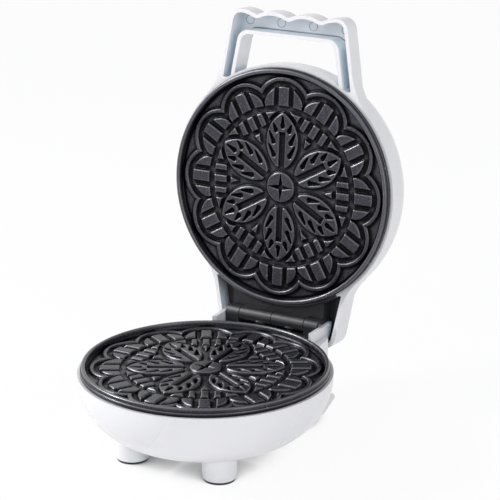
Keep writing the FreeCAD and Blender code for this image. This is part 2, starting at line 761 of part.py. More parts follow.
def base_housing_shape():
    outer = spun(round_profile(size("housing_radius"), size("bowl_radius"), size("bowl_band"), base_edge, -1))
    front_legs = [(-size("front_leg_x"), -size("front_leg_y")), (size("front_leg_x"), -size("front_leg_y"))]
    rear_legs = [(-size("rear_leg_x"), size("rear_leg_y")), (size("rear_leg_x"), size("rear_leg_y"))]
    rear_leg_top = size("tongue_clearance") + size("foot_edge")
    legs = [leg(x, y, seat_top) for x, y in front_legs]
    legs += [leg(x, y, rear_leg_top) for x, y in rear_legs]
    shape = outer.fuse(base_tongue() + legs)
    notch_half = size("barrel_half") + size("fit_gap")
    notch = slab(
        -notch_half, notch_half,
        size("bowl_radius"), size("base_tongue_y") + OVERCUT,
        hinge_floor, base_edge + OVERCUT,
    )
    notch = notch.cut(drum(size("housing_radius"), hinge_floor - OVERCUT, base_edge + 2 * OVERCUT))
    room = housing_cavity(size("bowl_radius"), size("bowl_band"), base_edge, -1)
    shape = shape.cut([notch, room, base_tongue_room()])
    seat_low = head_seat - size("wall")
    seats = [drum(size("seat_radius"), seat_low, seat_top, x, y) for x, y in base_screw_places]
    pedestal = slab(
        -size("block_half"), size("block_half"),
        pin_y - size("terminal_depth") / 2, pin_y + size("terminal_depth") / 2,
        size("tongue_clearance") + size("wall") / 2, terminal_low,
    )
    block_bosses = []
    for side in (-1, 1):
        block_bosses.append(drum(
            size("boss_radius"),
            hinge_floor - size("wall") - size("boss_length"),
            hinge_floor - size("wall") / 2,
            side * size("block_screw_x"),
            hinge_screw_y,
        ))
    shape = shape.fuse(seats + [pedestal, hinge_ear(-1), hinge_ear(1)] + block_bosses)
    holes = []
    for x, y in base_screw_places:
        holes.append(drum(screw_hole, head_seat - OVERCUT, seat_top + OVERCUT, x, y))
        holes.append(drum(size("leg_bore"), 0, head_seat, x, y))
    for x, y in rear_legs:
        holes.append(drum(size("leg_bore"), 0, size("pad_height") + size("pad_stem") + size("fit_gap"), x, y))
    for side in (-1, 1):
        holes.append(drum(
            screw_hole,
            hinge_floor - size("screw_bite") - size("fit_gap"),
            hinge_floor + OVERCUT,
            side * size("block_screw_x"),
            hinge_screw_y,
        ))
    gland_hole = Part.makeCylinder(
        size("gland_radius") + size("fit_gap"),
        3 * size("wall"),
        Vector(0, size("base_tongue_y") - 2 * size("wall"), size("gland_height")),
        Vector(0, 1, 0),
    )
    return shape.cut(holes + [gland_hole]).removeSplitter()


hinge_floor = base_edge - size("block_height")
hinge_screw_y = size("base_tongue_y") - size("fit_gap") - size("block_depth") / 2
heater_z = lower_under - size("fit_gap") - size("heater_tube")
terminal_top = heater_z - size("heater_pin_length") + size("terminal_hole") - size("fit_gap")
terminal_low = terminal_top - size("terminal_height")
coded("base_housing", base_housing_shape(), BASE_PLACE)


# Lid housing
def along(start, towards, distance):
    return start + (towards - start).normalize() * distance


def arc_about(centre, first, last):
    """The shorter arc about a centre from one point to another."""
    radius = (first - centre).Length
    middle = along(centre, (first + last) * 0.5, radius)
    return Part.Arc(first, middle, last).toShape()


def handle_outline(margin, height):
    """The handle's outer edge, drawn in by a margin: straight sides, round corners and four finger rests."""
    pitch = size("finger_pitch")
    rise = size("finger_rise")
    rest = ((pitch / 2) ** 2 + rise ** 2) / (2 * rise)
    rest_y = rest - rise - size("handle_tip_y")
    rests = [Vector((index - 1.5) * pitch, rest_y, height) for index in range(4)]
    valley_y = rest_y - math.sqrt((rest + size("valley_round")) ** 2 - (pitch / 2) ** 2)
    valleys = [Vector((index - 1) * pitch, valley_y, height) for index in range(3)]
    root = Vector(size("handle_root_half"), -size("handle_root_y"), height)
    tip = Vector(size("handle_tip_half"), -size("handle_tip_y"), height)
    down = (tip - root).normalize()
    inward = Vector(down.y, -down.x, 0)
    start = root + inward * size("handle_corner") - rests[3]
    half_term = start.dot(down)
    short = start.dot(start) - (rest - size("handle_corner")) ** 2
    corner = rests[3] + start + down * (math.sqrt(half_term ** 2 - short) - half_term)
    side_stop = corner - inward * (size("handle_corner") - margin)
    root_stop = side_stop + down * ((root.y - margin - side_stop.y) / down.y)
    corner_stop = along(rests[3], corner, rest - margin)
    half = [Part.LineSegment(root_stop, side_stop).toShape(), arc_about(corner, side_stop, corner_stop)]
    edges = half + [edge.mirror(Vector(0, 0, 0), Vector(1, 0, 0)) for edge in half]
    stops = [Vector(-corner_stop.x, corner_stop.y, height)]
    for index, valley in enumerate(valleys):
        before = along(rests[index], valley, rest - margin)
        after = along(rests[index + 1], valley, rest - margin)
        edges.append(arc_about(valley, before, after))
        stops += [before, after]
    stops.append(corner_stop)
    for index, centre in enumerate(rests):
        edges.append(arc_about(centre, stops[2 * index], stops[2 * index + 1]))
    edges.append(Part.LineSegment(Vector(-root_stop.x, root_stop.y, height), root_stop).toShape())
    return Part.Wire(Part.__sortEdges__(edges))


def opening_solid(margin):
    """The finger opening, or with a margin the wall that stands round it."""
    front = -size("opening_front_y") - margin
    root = -size("opening_root_y")
    front_half = size("opening_front_half") + margin
    root_half = size("opening_root_half") + margin
    inside = root + size("dome_radius") / 2
    slope = (root_half - front_half) / (root - front)
    deep_half = root_half + slope * (inside - root)
    corners = [(-front_half, front), (front_half, front), (deep_half, inside), (-deep_half, inside)]
    corner = size("opening_corner") + margin
    wire = rounded_outline(corners, [corner, corner, 0, 0], lid_edge - OVERCUT)
    return prism(wire, Vector(0, 0, size("handle_height") + 2 * OVERCUT))


def handle_shape():
    height = size("handle_height")
    wall = size("handle_wall")
    block = prism(handle_outline(0.0, lid_edge), Vector(0, 0, height))
    block = block.makeFillet(size("handle_round"), level_edges(block, lid_edge + height))
    channel = prism(handle_outline(wall, lid_edge - OVERCUT), Vector(0, 0, height - wall + OVERCUT))
    return block.cut([channel.cut(opening_solid(wall)), opening_solid(0.0)])


def lid_tongue_outline(margin, height):
    """The lid's tongue in plan, drawn in by a margin."""
    return tongue_outline(
        size("tongue_root_half") - margin,
        size("tongue_tip_half") - margin,
        size("tongue_root_y") + margin,
        size("lid_tongue_y") - margin,
        size("tongue_corner") - margin,
        height,
    )


def lid_tongue():
    height = size("tongue_height")
    wall = size("wall")
    block = prism(lid_tongue_outline(0.0, lid_edge), Vector(0, 0, height))
    block = block.makeFillet(size("tongue_round"), level_edges(block, lid_edge + height))
    room = prism(lid_tongue_outline(wall, lid_edge - OVERCUT), Vector(0, 0, height - wall + OVERCUT))
    return block.cut(room)


def side_flare(root, tip, blend, height):
    """Fills the corner between the lid's round edge and a straight side that leaves it."""
    around = size("housing_radius")
    skin = size("wall") / 2
    along = (tip - root).normalize()
    outward = Vector(along.y, -along.x, 0)
    if outward.x * root.x < 0:
        outward = outward * -1
    start = root + outward * blend
    half_term = start.dot(along)
    short = start.dot(start) - (around + blend) ** 2
    centre = start + along * (math.sqrt(half_term ** 2 - short) - half_term)
    on_side = centre - outward * blend
    on_edge = centre * (around / (around + blend))
    to_side = (on_side - centre).normalize()
    to_edge = (on_edge - centre).normalize()
    middle = centre + (to_side + to_edge).normalize() * blend
    inner = 1 - skin / around
    crossing = math.sqrt(around ** 2 - root.y ** 2)
    meeting = Vector(math.copysign(min(abs(root.x), crossing), root.x), root.y, 0)
    corners = [on_side, on_side - outward * skin, root - outward * skin]
    corners.append(meeting + Vector(0, math.copysign(skin / 2, root.y), 0))
    corners.append(meeting * (around / meeting.Length) * inner)
    corners += [on_edge * inner, on_edge]
    edges = [Part.LineSegment(*pair).toShape() for pair in zip(corners[:-1], corners[1:])]
    edges.append(Part.Arc(on_edge, middle, on_side).toShape())
    wire = Part.Wire(edges)
    wire.translate(Vector(0, 0, lid_edge))
    return prism(wire, Vector(0, 0, height))


def lid_flares():
    flares = []
    for side in (-1, 1):
        flares.append(side_flare(
            Vector(side * size("handle_root_half"), -size("handle_root_y"), 0),
            Vector(side * size("handle_tip_half"), -size("handle_tip_y"), 0),
            size("handle_flare"),
            size("handle_height") - size("handle_round") - size("flare_step"),
        ))
        flares.append(side_flare(
            Vector(side * size("tongue_root_half"), size("tongue_root_y"), 0),
            Vector(side * size("tongue_tip_half"), size("lid_tongue_y"), 0),
            size("tongue_flare"),
            size("tongue_height") - size("tongue_round") - size("flare_step"),
        ))
    return flares


def lid_housing_shape():
    outer = spun(round_profile(size("housing_radius"), size("dome_radius"), size("dome_band"), lid_edge, 1))
    shape = outer.fuse([handle_shape(), lid_tongue()] + lid_flares())
    shape = shape.cut(housing_cavity(size("dome_radius"), size("dome_band"), lid_edge, 1))
    tube = drum(size("centre_tube"), upper_pan_above, lid_top - size("wall") / 2)
    bosses = []
    for side in (-1, 1):
        bosses.append(drum(
            size("boss_radius"),
            liner_back,
            lid_edge + size("tongue_height") - size("wall") / 2,
            side * size("liner_screw_x"),
            size("liner_screw_y"),
        ))
    shape = shape.fuse([tube] + bosses)
    seat = lid_top - size("centre_seat")
    holes = [
        drum(screw_hole, upper_pan_above - OVERCUT, seat + OVERCUT),
        drum(head_hole, seat, lid_top + OVERCUT),
        drum(size("cap_radius") + size("fit_gap"), lid_top - size("cap_height"), lid_top + OVERCUT),
        drum(
            size("lens_radius") + size("fit_gap"),
            lid_top - 2 * size("wall"), lid_top + OVERCUT,
            0, -size("lens_place"),
        ),
    ]
    for side in (-1, 1):
        holes.append(drum(
            screw_hole,
            liner_back - OVERCUT,
            liner_back + size("liner_bite") + size("fit_gap"),
            side * size("liner_screw_x"),
            size("liner_screw_y"),
        ))
    return shape.cut(holes).removeSplitter()


liner_face = lid_edge + size("liner_rise")
tray_face = liner_face + size("tray_depth")
liner_back = tray_face + size("liner_sheet")
coded("lid_housing", lid_housing_shape(), LID_PLACE)


# Hinge
def barrel(radius, low, high):
    return Part.makeCylinder(radius, high - low, Vector(low, size("hinge_y"), hinge_z), Vector(1, 0, 0))


def liner_shape():
    """Black panel of the lid: raised middle, side trays and the inner pair of knuckles."""
    sheet_depth = size("liner_sheet")
    half = size("barrel_half") - size("fit_gap")
    rear = size("hinge_y") + size("liner_rear")
    front = size("tongue_root_y")
    block = slab(-half, half, front, rear, liner_face, liner_back)
    hollow = slab(
        -half + sheet_depth, half - sheet_depth,
        front - OVERCUT, rear - sheet_depth,
        liner_face + sheet_depth, tray_face,
    )
    room = size("wall") + size("fit_gap")
    tray = prism(lid_tongue_outline(room, tray_face), Vector(0, 0, sheet_depth))
    arm = size("knuckle_radius") - size("fit_gap")
    pieces = [tray]
    for side in (-1, 1):
        near_end = size("knuckle_gap") / 2
        far_end = size("inner_knuckle") - near_end
        ends = sorted([side * near_end, side * far_end])
        pieces.append(barrel(size("knuckle_radius"), ends[0], ends[1]))
        pieces.append(slab(
            ends[0], ends[1],
            size("hinge_y") - arm, size("hinge_y") + arm,
            hinge_z, liner_face + sheet_depth / 2,
        ))
    shape = block.cut(hollow).fuse(pieces)
    dome = drum(size("housing_radius") + size("fit_gap"), hinge_z - size("wall"), liner_back + OVERCUT)
    pin_hole = barrel(size("pin_radius") + size("pin_clearance"), -size("barrel_half"), size("barrel_half"))
    holes = [dome, pin_hole]
    for side in (-1, 1):
        holes.append(drum(
            screw_hole,
            tray_face - OVERCUT, liner_back + OVERCUT,
            side * size("liner_screw_x"), size("liner_screw_y"),
        ))
    return shape.cut(holes).removeSplitter()


def hinge_block_shape():
    """Black bracket of the base, with the outer pair of knuckles."""
    half = size("barrel_half")
    rear = size("base_tongue_y") - size("fit_gap")
    bridge = slab(-half, half, rear - size("block_depth"), rear, hinge_floor, base_edge)
    pieces = []
    for side in (-1, 1):
        ends = sorted([side * (size("inner_knuckle") + size("knuckle_gap") / 2), side * half])
        pieces.append(barrel(size("knuckle_radius"), ends[0], ends[1]))
        pieces.append(slab(
            ends[0], ends[1],
            size("hinge_y") - size("knuckle_radius") + size("fit_gap"), rear,
            hinge_floor, hinge_z,
        ))
    shape = bridge.fuse(pieces).removeSplitter()
    holes = [barrel(size("pin_radius") + size("pin_clearance"), -half, half)]
    for side in (-1, 1):
        holes.append(drum(screw_hole, hinge_floor, base_edge, side * size("block_screw_x"), hinge_screw_y))
        holes.append(drum(
            head_hole,
            base_edge - size("screw_head_height"),
            base_edge,
            side * size("block_screw_x"),
            hinge_screw_y,
        ))
    return shape.cut(holes)


coded("lid_hinge_liner", liner_shape(), LID_PLACE)
coded("base_hinge_block", hinge_block_shape(), BASE_PLACE)

ALONG_X = Placement(Vector(0, 0, 0), Rotation(Vector(0, 1, 0), 90))
revolved(
    "hinge_pin",
    [
        ("0", "-Sizes.barrel_half"),
        ("Sizes.pin_radius", "-Sizes.barrel_half"),
        ("Sizes.pin_radius", "Sizes.barrel_half"),
        ("0", "Sizes.barrel_half"),
    ],
    BASE_PLACE * at(0, size("hinge_y"), hinge_z) * ALONG_X,
)


# Screws
def screw(name, seat, tip, x, y, upward):
    """One screw between the heights of its head's seat and its tip, with its head outside."""
    length = "abs((%s) - (%s))" % (tip, seat)
    low = seat if upward else tip
    head_low = "(%s) - Sizes.screw_head_height" % seat if upward else seat
    shank = cylinder(name + "_shank", "Sizes.screw_radius", length, str(x), str(y), low)
    head = cylinder(
        name + "_head",
        "Sizes.screw_head_radius", "Sizes.screw_head_height",
        str(x), str(y), head_low,
    )
    return fused(name, [shank, head])


def screws(label, seat, tip, places, upward, place):
    pieces = []
    for index, (x, y) in enumerate(places, start=1):
        pieces.append(screw("%s_%d" % (label, index), seat, tip, x, y, upward))
    return keep(gathered(label, pieces), label, place)


screws("base_screws", HEAD_SEAT, "%s + Sizes.screw_bite" % LOWER_PAN, base_screw_places, True, BASE_PLACE)
screws(
    "upper_plate_screws",
    UPPER_PAN_ABOVE,
    "%s - Sizes.screw_bite" % UPPER_PAN,
    upper_screw_places,
    False,
    LID_PLACE,
)
screws(
    "base_hinge_screws",
    "%s - Sizes.screw_head_height" % BASE_EDGE,
    "%s - Sizes.block_height - Sizes.screw_bite" % BASE_EDGE,
    [(-size("block_screw_x"), hinge_screw_y), (size("block_screw_x"), hinge_screw_y)],
    False,
    BASE_PLACE,
)
screws(
    "lid_liner_screws",
    "%s + Sizes.liner_rise + Sizes.tray_depth" % LID_EDGE,
    "%s + Sizes.liner_rise + Sizes.tray_depth + Sizes.liner_sheet + Sizes.liner_bite" % LID_EDGE,
    [(-size("liner_screw_x"), size("liner_screw_y")), (size("liner_screw_x"), size("liner_screw_y"))],
    True,
    LID_PLACE,
)
screws(
    "lid_centre_screw",
    "%s - Sizes.centre_seat" % LID_TOP,
    "%s - Sizes.screw_bite" % UPPER_PAN,
    [(0.0, 0.0)],
    False,
    LID_PLACE,
)


# Heating elements
def heater(label, ring_z, pin_z, place):
    ring = doc.addObject("Part::Torus", label + "_ring")
    ring.setExpression("Radius1", "Sizes.heater_ring")
    ring.setExpression("Radius2", "Sizes.heater_tube")
    ring.setExpression("Angle3", "360 - Sizes.heater_gap_angle")
    ring.Placement = Placement(Vector(0, 0, 0), Rotation(Vector(0, 0, 1), 90 + size("heater_gap_angle") / 2))
    ring.setExpression("Placement.Base.z", ring_z)
    pieces = [ring]
    for name, side in (("left", "-"), ("right", "")):
        x = "%sSizes.heater_ring * sin(%s * 1 deg)" % (side, PIN_ANGLE)
        y = "Sizes.heater_ring * cos(%s * 1 deg)" % PIN_ANGLE
        pieces.append(cylinder(
            "%s_%s_pin" % (label, name), "Sizes.heater_pin", "Sizes.heater_pin_length", x, y, pin_z
        ))
        ball = doc.addObject("Part::Sphere", "%s_%s_end" % (label, name))
        ball.setExpression("Radius", "Sizes.heater_tube")
        ball.setExpression("Placement.Base.x", x)
        ball.setExpression("Placement.Base.y", y)
        ball.setExpression("Placement.Base.z", ring_z)
        pieces.append(ball)
    return keep(fused(label, pieces), label, place)


LOWER_RING = "%s - Sizes.fit_gap - Sizes.heater_tube" % LOWER_UNDER
UPPER_RING = "%s + Sizes.fit_gap + Sizes.heater_tube" % UPPER_BACK
heater("lower_heater", LOWER_RING, "%s - Sizes.heater_pin_length" % LOWER_RING, BASE_PLACE)
heater("upper_heater", UPPER_RING, UPPER_RING, LID_PLACE)


# Heat shields
def shield(label, floor_low, rim_low, hole_places, centre_hole, place):
    """A pan with a rim, holes for its screws and slots for the element's pins."""
    tall = "Sizes.boss_length + Sizes.shield_sheet - Sizes.fit_gap"
    outside = cylinder(label + "_outside", "Sizes.shield_radius", tall, z=rim_low)
    hollow = cylinder(
        label + "_hollow",
        "Sizes.shield_radius - Sizes.shield_sheet",
        "%s - Sizes.shield_sheet" % tall,
        z="%s + Sizes.shield_sheet" % rim_low if floor_low == rim_low else rim_low,
    )
    tools = [hollow]
    for index, (x, y) in enumerate(hole_places, start=1):
        tools.append(cylinder(
            "%s_hole_%d" % (label, index),
            "Sizes.screw_radius + Sizes.fit_gap",
            "Sizes.shield_sheet",
            str(x),
            str(y),
            floor_low,
        ))
    for name, side in (("left", "-"), ("right", "")):
        tools.append(cylinder(
            "%s_%s_pin_hole" % (label, name),
            "Sizes.heater_tube",
            "Sizes.shield_sheet",
            "%sSizes.heater_ring * sin(%s * 1 deg)" % (side, PIN_ANGLE),
            "Sizes.heater_ring * cos(%s * 1 deg)" % PIN_ANGLE,
            floor_low,
        ))
    tools.append(cylinder(label + "_centre", centre_hole, "Sizes.shield_sheet", z=floor_low))
    return keep(cut(label, outside, fused(label + "_tools", tools)), label, place)


shield(
    "lower_heat_shield", LOWER_PAN_BELOW, LOWER_PAN_BELOW, base_screw_places,
    "Sizes.stat_cap + Sizes.fit_gap", BASE_PLACE,
)
shield(
    "upper_heat_shield", UPPER_PAN, "%s + Sizes.fit_gap" % UPPER_BACK, upper_screw_places,
    "Sizes.screw_radius + Sizes.fit_gap", LID_PLACE,
)

# Posts, thermostat, fuses and terminal block
posts = []
for index, (x, y) in enumerate(base_screw_places, start=1):
    rod = cylinder(
        "post_%d_rod" % index,
        "Sizes.post_radius", "%s - %s" % (LOWER_PAN_BELOW, SEAT_TOP),
        str(x), str(y), SEAT_TOP,
    )
    bore = cylinder(
        "post_%d_bore" % index,
        "Sizes.screw_radius + Sizes.fit_gap",
        "%s - %s" % (LOWER_PAN_BELOW, SEAT_TOP),
        str(x),
        str(y),
        SEAT_TOP,
    )
    posts.append(cut("post_%d" % index, rod, bore))
keep(gathered("plate_posts", posts), "plate_posts", BASE_PLACE)

stat_low = "%s - Sizes.stat_ear_sheet - Sizes.stat_height" % LOWER_PAN_BELOW
thermostat = [
    cylinder("stat_body", "Sizes.stat_radius", "Sizes.stat_height", z=stat_low),
    cylinder(
        "stat_cap_post", "Sizes.stat_cap",
        "Sizes.stat_ear_sheet + Sizes.shield_sheet + Sizes.boss_length - Sizes.fit_gap",
        z="%s - Sizes.stat_ear_sheet" % LOWER_PAN_BELOW,
    ),
    box(
        "stat_ears", "2 * Sizes.stat_ear", "Sizes.stat_ear_width", "Sizes.stat_ear_sheet",
        "-Sizes.stat_ear", "-Sizes.stat_ear_width / 2", "%s - Sizes.stat_ear_sheet" % LOWER_PAN_BELOW,
    ),
]
for name, side in (("left", "-"), ("right", "")):
    thermostat.append(box(
        "stat_%s_blade" % name, "Sizes.blade_sheet", "Sizes.blade_width", "Sizes.blade_length",
        "%sSizes.blade_pitch / 2 - Sizes.blade_sheet / 2" % side, "-Sizes.blade_width / 2",
        "%s - Sizes.blade_length" % stat_low,
    ))
keep(fused("lower_thermostat", thermostat), "lower_thermostat", BASE_PLACE)

SIDEWAYS = Rotation(Vector(0, 1, 0), 90)


def thermal_fuse(label, axis_z, place):
    body = cylinder(
        label + "_body", "Sizes.fuse_radius", "Sizes.fuse_length",
        "-Sizes.fuse_length / 2", "-Sizes.fuse_place", axis_z, SIDEWAYS,
    )
    leads = cylinder(
        label + "_leads", "Sizes.fuse_lead", "Sizes.fuse_length + 2 * Sizes.fuse_lead_length",
        "-Sizes.fuse_length / 2 - Sizes.fuse_lead_length", "-Sizes.fuse_place", axis_z, SIDEWAYS,
    )
    return keep(fused(label, [body, leads]), label, place)


thermal_fuse("lower_thermal_fuse", "%s - Sizes.fit_gap - Sizes.fuse_radius" % LOWER_PAN_BELOW, BASE_PLACE)
thermal_fuse("upper_thermal_fuse", "%s + Sizes.fit_gap + Sizes.fuse_radius" % UPPER_PAN_ABOVE, LID_PLACE)

TERMINAL_TOP = "(%s - Sizes.heater_pin_length + Sizes.terminal_hole - Sizes.fit_gap)" % LOWER_RING
PIN_X = "Sizes.heater_ring * sin(%s * 1 deg)" % PIN_ANGLE
PIN_Y = "Sizes.heater_ring * cos(%s * 1 deg)" % PIN_ANGLE
ceramic = box(
    "terminal_body", "2 * Sizes.block_half", "Sizes.terminal_depth", "Sizes.terminal_height",
    "-Sizes.block_half", "%s - Sizes.terminal_depth / 2" % PIN_Y, "%s - Sizes.terminal_height" % TERMINAL_TOP,
)
terminal_holes = []
for name, side in (("left", "-"), ("right", "")):
    terminal_holes.append(cylinder(
        "terminal_%s_hole" % name, "Sizes.heater_pin + Sizes.fit_gap", "Sizes.terminal_hole",
        side + PIN_X, PIN_Y, "%s - Sizes.terminal_hole" % TERMINAL_TOP,
    ))
keep(cut("terminal_block", ceramic, fused("terminal_holes", terminal_holes)), "terminal_block", BASE_PLACE)

# Cord gland, foot pads and the pieces in the lid's top
TO_REAR = Placement(
    Vector(0, size("base_tongue_y"), size("gland_height")),
    Rotation(Vector(1, 0, 0), -90),
)
revolved(
    "cord_gland",
    [
        ("Sizes.gland_bore", "-Sizes.gland_neck"),
        ("Sizes.gland_radius", "-Sizes.gland_neck"),
        ("Sizes.gland_radius", "0"),
        ("Sizes.gland_flange", "0"),
        ("Sizes.gland_flange", "Sizes.gland_flange_height"),
        ("Sizes.gland_bore", "Sizes.gland_flange_height"),
    ],
    BASE_PLACE * TO_REAR,
)

pad_places = {
    "foot_pad_front_left": (-size("front_leg_x"), -size("front_leg_y")),
    "foot_pad_front_right": (size("front_leg_x"), -size("front_leg_y")),
    "foot_pad_rear_left": (-size("rear_leg_x"), size("rear_leg_y")),
    "foot_pad_rear_right": (size("rear_leg_x"), size("rear_leg_y")),
}
for label, (x, y) in pad_places.items():
    revolved(
        label,
        [
            ("0", "0"),
            ("Sizes.pad_radius", "0"),
            ("Sizes.pad_radius", "Sizes.pad_height"),
            ("Sizes.leg_bore - Sizes.fit_gap", "Sizes.pad_height"),
            ("Sizes.leg_bore - Sizes.fit_gap", "Sizes.pad_height + Sizes.pad_stem"),
            ("0", "Sizes.pad_height + Sizes.pad_stem"),
        ],
        BASE_PLACE * at(x, y),
    )

revolved(
    "lid_centre_cap",
    [
        ("0", "%s - Sizes.cap_height - Sizes.cap_stem" % LID_TOP),
        ("Sizes.screw_head_radius", "%s - Sizes.cap_height - Sizes.cap_stem" % LID_TOP),
        ("Sizes.screw_head_radius", "%s - Sizes.cap_height" % LID_TOP),
        ("Sizes.cap_radius", "%s - Sizes.cap_height" % LID_TOP),
        ("Sizes.cap_radius", LID_TOP),
        ("0", LID_TOP),
    ],
    LID_PLACE,
)
LENS_LOW = "%s - Sizes.wall - Sizes.fit_gap - Sizes.lens_flange_height" % LID_TOP
revolved(
    "indicator_lens",
    [
        ("0", LENS_LOW),
        ("Sizes.lens_flange", LENS_LOW),
        ("Sizes.lens_flange", "%s + Sizes.lens_flange_height" % LENS_LOW),
        ("Sizes.lens_radius", "%s + Sizes.lens_flange_height" % LENS_LOW),
        ("Sizes.lens_radius", LID_TOP),
        ("0", "%s + Sizes.lens_rise" % LID_TOP),
    ],
    LID_PLACE * at(0, -size("lens_place")),
)
revolved(
    "indicator_lamp",
    [
        ("0", "%s - Sizes.fit_gap - Sizes.lamp_length" % LENS_LOW),
        ("Sizes.lamp_radius", "%s - Sizes.fit_gap - Sizes.lamp_length" % LENS_LOW),
        ("Sizes.lamp_radius", "%s - Sizes.fit_gap" % LENS_LOW),
        ("0", "%s - Sizes.fit_gap" % LENS_LOW),
    ],
    LID_PLACE * at(0, -size("lens_place")),
)

# Check the document, then write each piece
doc.recompute()
for item in doc.Objects:
    if "Invalid" in item.State or "Error" in item.State:
        raise RuntimeError("%s did not compute" % item.Label)
os.makedirs("parts", exist_ok=True)
for node in nodes:
    shape = node.Shape
    if shape.isNull() or not shape.isValid():
        raise RuntimeError("%s has no valid shape" % node.Label)
    if not all(shell.isClosed() for shell in shape.Shells):
        raise RuntimeError("%s is not closed" % node.Label)
    extent = shape.BoundBox
    print("%-22s solids %d volume %.1f y %.2f..%.2f z %.2f..%.2f" % (
        node.Label, len(shape.Solids), shape.Volume, extent.YMin, extent.YMax, extent.ZMin, extent.ZMax
    ))
    shape.exportStep("parts/%s.step" % node.Label)
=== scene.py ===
import json
import math

import bmesh
import bpy
import numpy as np
from mathutils import Matrix, Vector


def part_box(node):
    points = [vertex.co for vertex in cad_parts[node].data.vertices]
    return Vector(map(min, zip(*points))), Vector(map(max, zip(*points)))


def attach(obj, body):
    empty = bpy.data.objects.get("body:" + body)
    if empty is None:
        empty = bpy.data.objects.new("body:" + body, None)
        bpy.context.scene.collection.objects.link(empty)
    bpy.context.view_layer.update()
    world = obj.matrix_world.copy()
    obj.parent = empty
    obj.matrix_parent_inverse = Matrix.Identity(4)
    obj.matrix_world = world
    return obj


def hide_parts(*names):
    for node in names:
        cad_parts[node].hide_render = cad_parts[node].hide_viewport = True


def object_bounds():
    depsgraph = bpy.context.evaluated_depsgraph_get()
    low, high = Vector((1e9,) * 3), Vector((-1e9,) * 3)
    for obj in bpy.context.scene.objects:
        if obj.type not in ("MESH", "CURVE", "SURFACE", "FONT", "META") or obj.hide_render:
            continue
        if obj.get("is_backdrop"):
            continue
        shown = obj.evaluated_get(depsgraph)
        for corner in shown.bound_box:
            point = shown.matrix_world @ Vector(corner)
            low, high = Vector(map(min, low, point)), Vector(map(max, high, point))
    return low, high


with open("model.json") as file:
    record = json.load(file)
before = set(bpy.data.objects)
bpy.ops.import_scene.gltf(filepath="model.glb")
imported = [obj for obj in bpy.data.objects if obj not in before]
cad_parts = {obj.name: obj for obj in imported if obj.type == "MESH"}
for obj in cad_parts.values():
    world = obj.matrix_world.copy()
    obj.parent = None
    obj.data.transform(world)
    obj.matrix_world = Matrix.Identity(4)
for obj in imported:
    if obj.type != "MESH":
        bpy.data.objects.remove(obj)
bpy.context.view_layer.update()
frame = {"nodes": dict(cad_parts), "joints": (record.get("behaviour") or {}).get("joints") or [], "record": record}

NODES = frame["nodes"]
MM = 0.001
AS_BUILT = Matrix.Identity(4)
UPSIDE_DOWN = Matrix.Rotation(math.pi, 4, "X")

# Where the lid turns, and how the closed lid is carried to its place at rest
HINGE = frame["joints"][0]
HINGE_POINT = Vector(HINGE["pos_m"])
CLOSING = math.radians(HINGE["range_deg"][1])
LIFTING = Matrix.Rotation(-CLOSING, 4, "X")
LID_OPEN = Matrix.Translation(HINGE_POINT) @ LIFTING @ Matrix.Translation(-HINGE_POINT)


# Shader nodes that the finishes are made of
UNIT = (0.0, 1.0)
NOISE_SPAN = (0.3, 0.7)
NOISE_ROUGHNESS = 0.55
OCCLUSION_SAMPLES = 12
GRAIN_DEPTH = 0.1 * MM


def material(name, color, roughness, metallic=0.0):
    """A new material, with its node tree and its shader."""
    item = bpy.data.materials.new(name)
    item.use_nodes = True
    tree = item.node_tree
    shader = tree.nodes["Principled BSDF"]
    shader.inputs["Base Color"].default_value = (*color, 1.0)
    shader.inputs["Roughness"].default_value = roughness
    shader.inputs["Metallic"].default_value = metallic
    item.diffuse_color = (*color, 1.0)
    return item, tree, shader


def placed(tree):
    return tree.nodes.new("ShaderNodeTexCoord").outputs["Object"]


def noise(tree, scale, detail, roughness=NOISE_ROUGHNESS, where=None):
    item = tree.nodes.new("ShaderNodeTexNoise")
    item.inputs["Scale"].default_value = scale
    item.inputs["Detail"].default_value = detail
    item.inputs["Roughness"].default_value = roughness
    tree.links.new(where or placed(tree), item.inputs["Vector"])
    return item.outputs["Fac"]


def ramp(tree, value, stops):
    """Colours along a value; a stop is (position, colour)."""
    item = tree.nodes.new("ShaderNodeValToRGB")
    band = item.color_ramp
    while len(band.elements) < len(stops):
        band.elements.new(0.5)
    for element, (position, color) in zip(band.elements, stops):
        element.position = position
        element.color = (*color, 1.0)
    tree.links.new(value, item.inputs["Fac"])
    return item.outputs["Color"]


def toned(tree, value, tones, span=NOISE_SPAN):
    """Two tones, one at each end of a span of a value."""
    return ramp(tree, value, list(zip(span, tones)))


def ranged(tree, value, span, result=UNIT):
    """A value stretched from its span to a range of results."""
    item = tree.nodes.new("ShaderNodeMapRange")
    item.inputs["From Min"].default_value = span[0]
    item.inputs["From Max"].default_value = span[1]
    item.inputs["To Min"].default_value = result[0]
    item.inputs["To Max"].default_value = result[1]
    tree.links.new(value, item.inputs["Value"])
    return item.outputs["Result"]


def shifted(tree, value, share, amount):
    """A value moved by a share of an amount."""
    item = tree.nodes.new("ShaderNodeMath")
    item.operation = "MULTIPLY_ADD"
    item.inputs[1].default_value = amount
    tree.links.new(share, item.inputs[0])
    tree.links.new(value, item.inputs[2])
    return item.outputs["Value"]


def bumped(tree, shader, height, strength):
    item = tree.nodes.new("ShaderNodeBump")
    item.inputs["Strength"].default_value = strength
    item.inputs["Distance"].default_value = GRAIN_DEPTH
    tree.links.new(height, item.inputs["Height"])
    tree.links.new(item.outputs["Normal"], shader.inputs["Normal"])


def openness(tree, reach, samples=OCCLUSION_SAMPLES):
    """1 on open surfaces, falling towards 0 in grooves and corners."""
    item = tree.nodes.new("ShaderNodeAmbientOcclusion")
    item.samples = samples
    item.inputs["Distance"].default_value = reach
    return item.outputs["AO"]


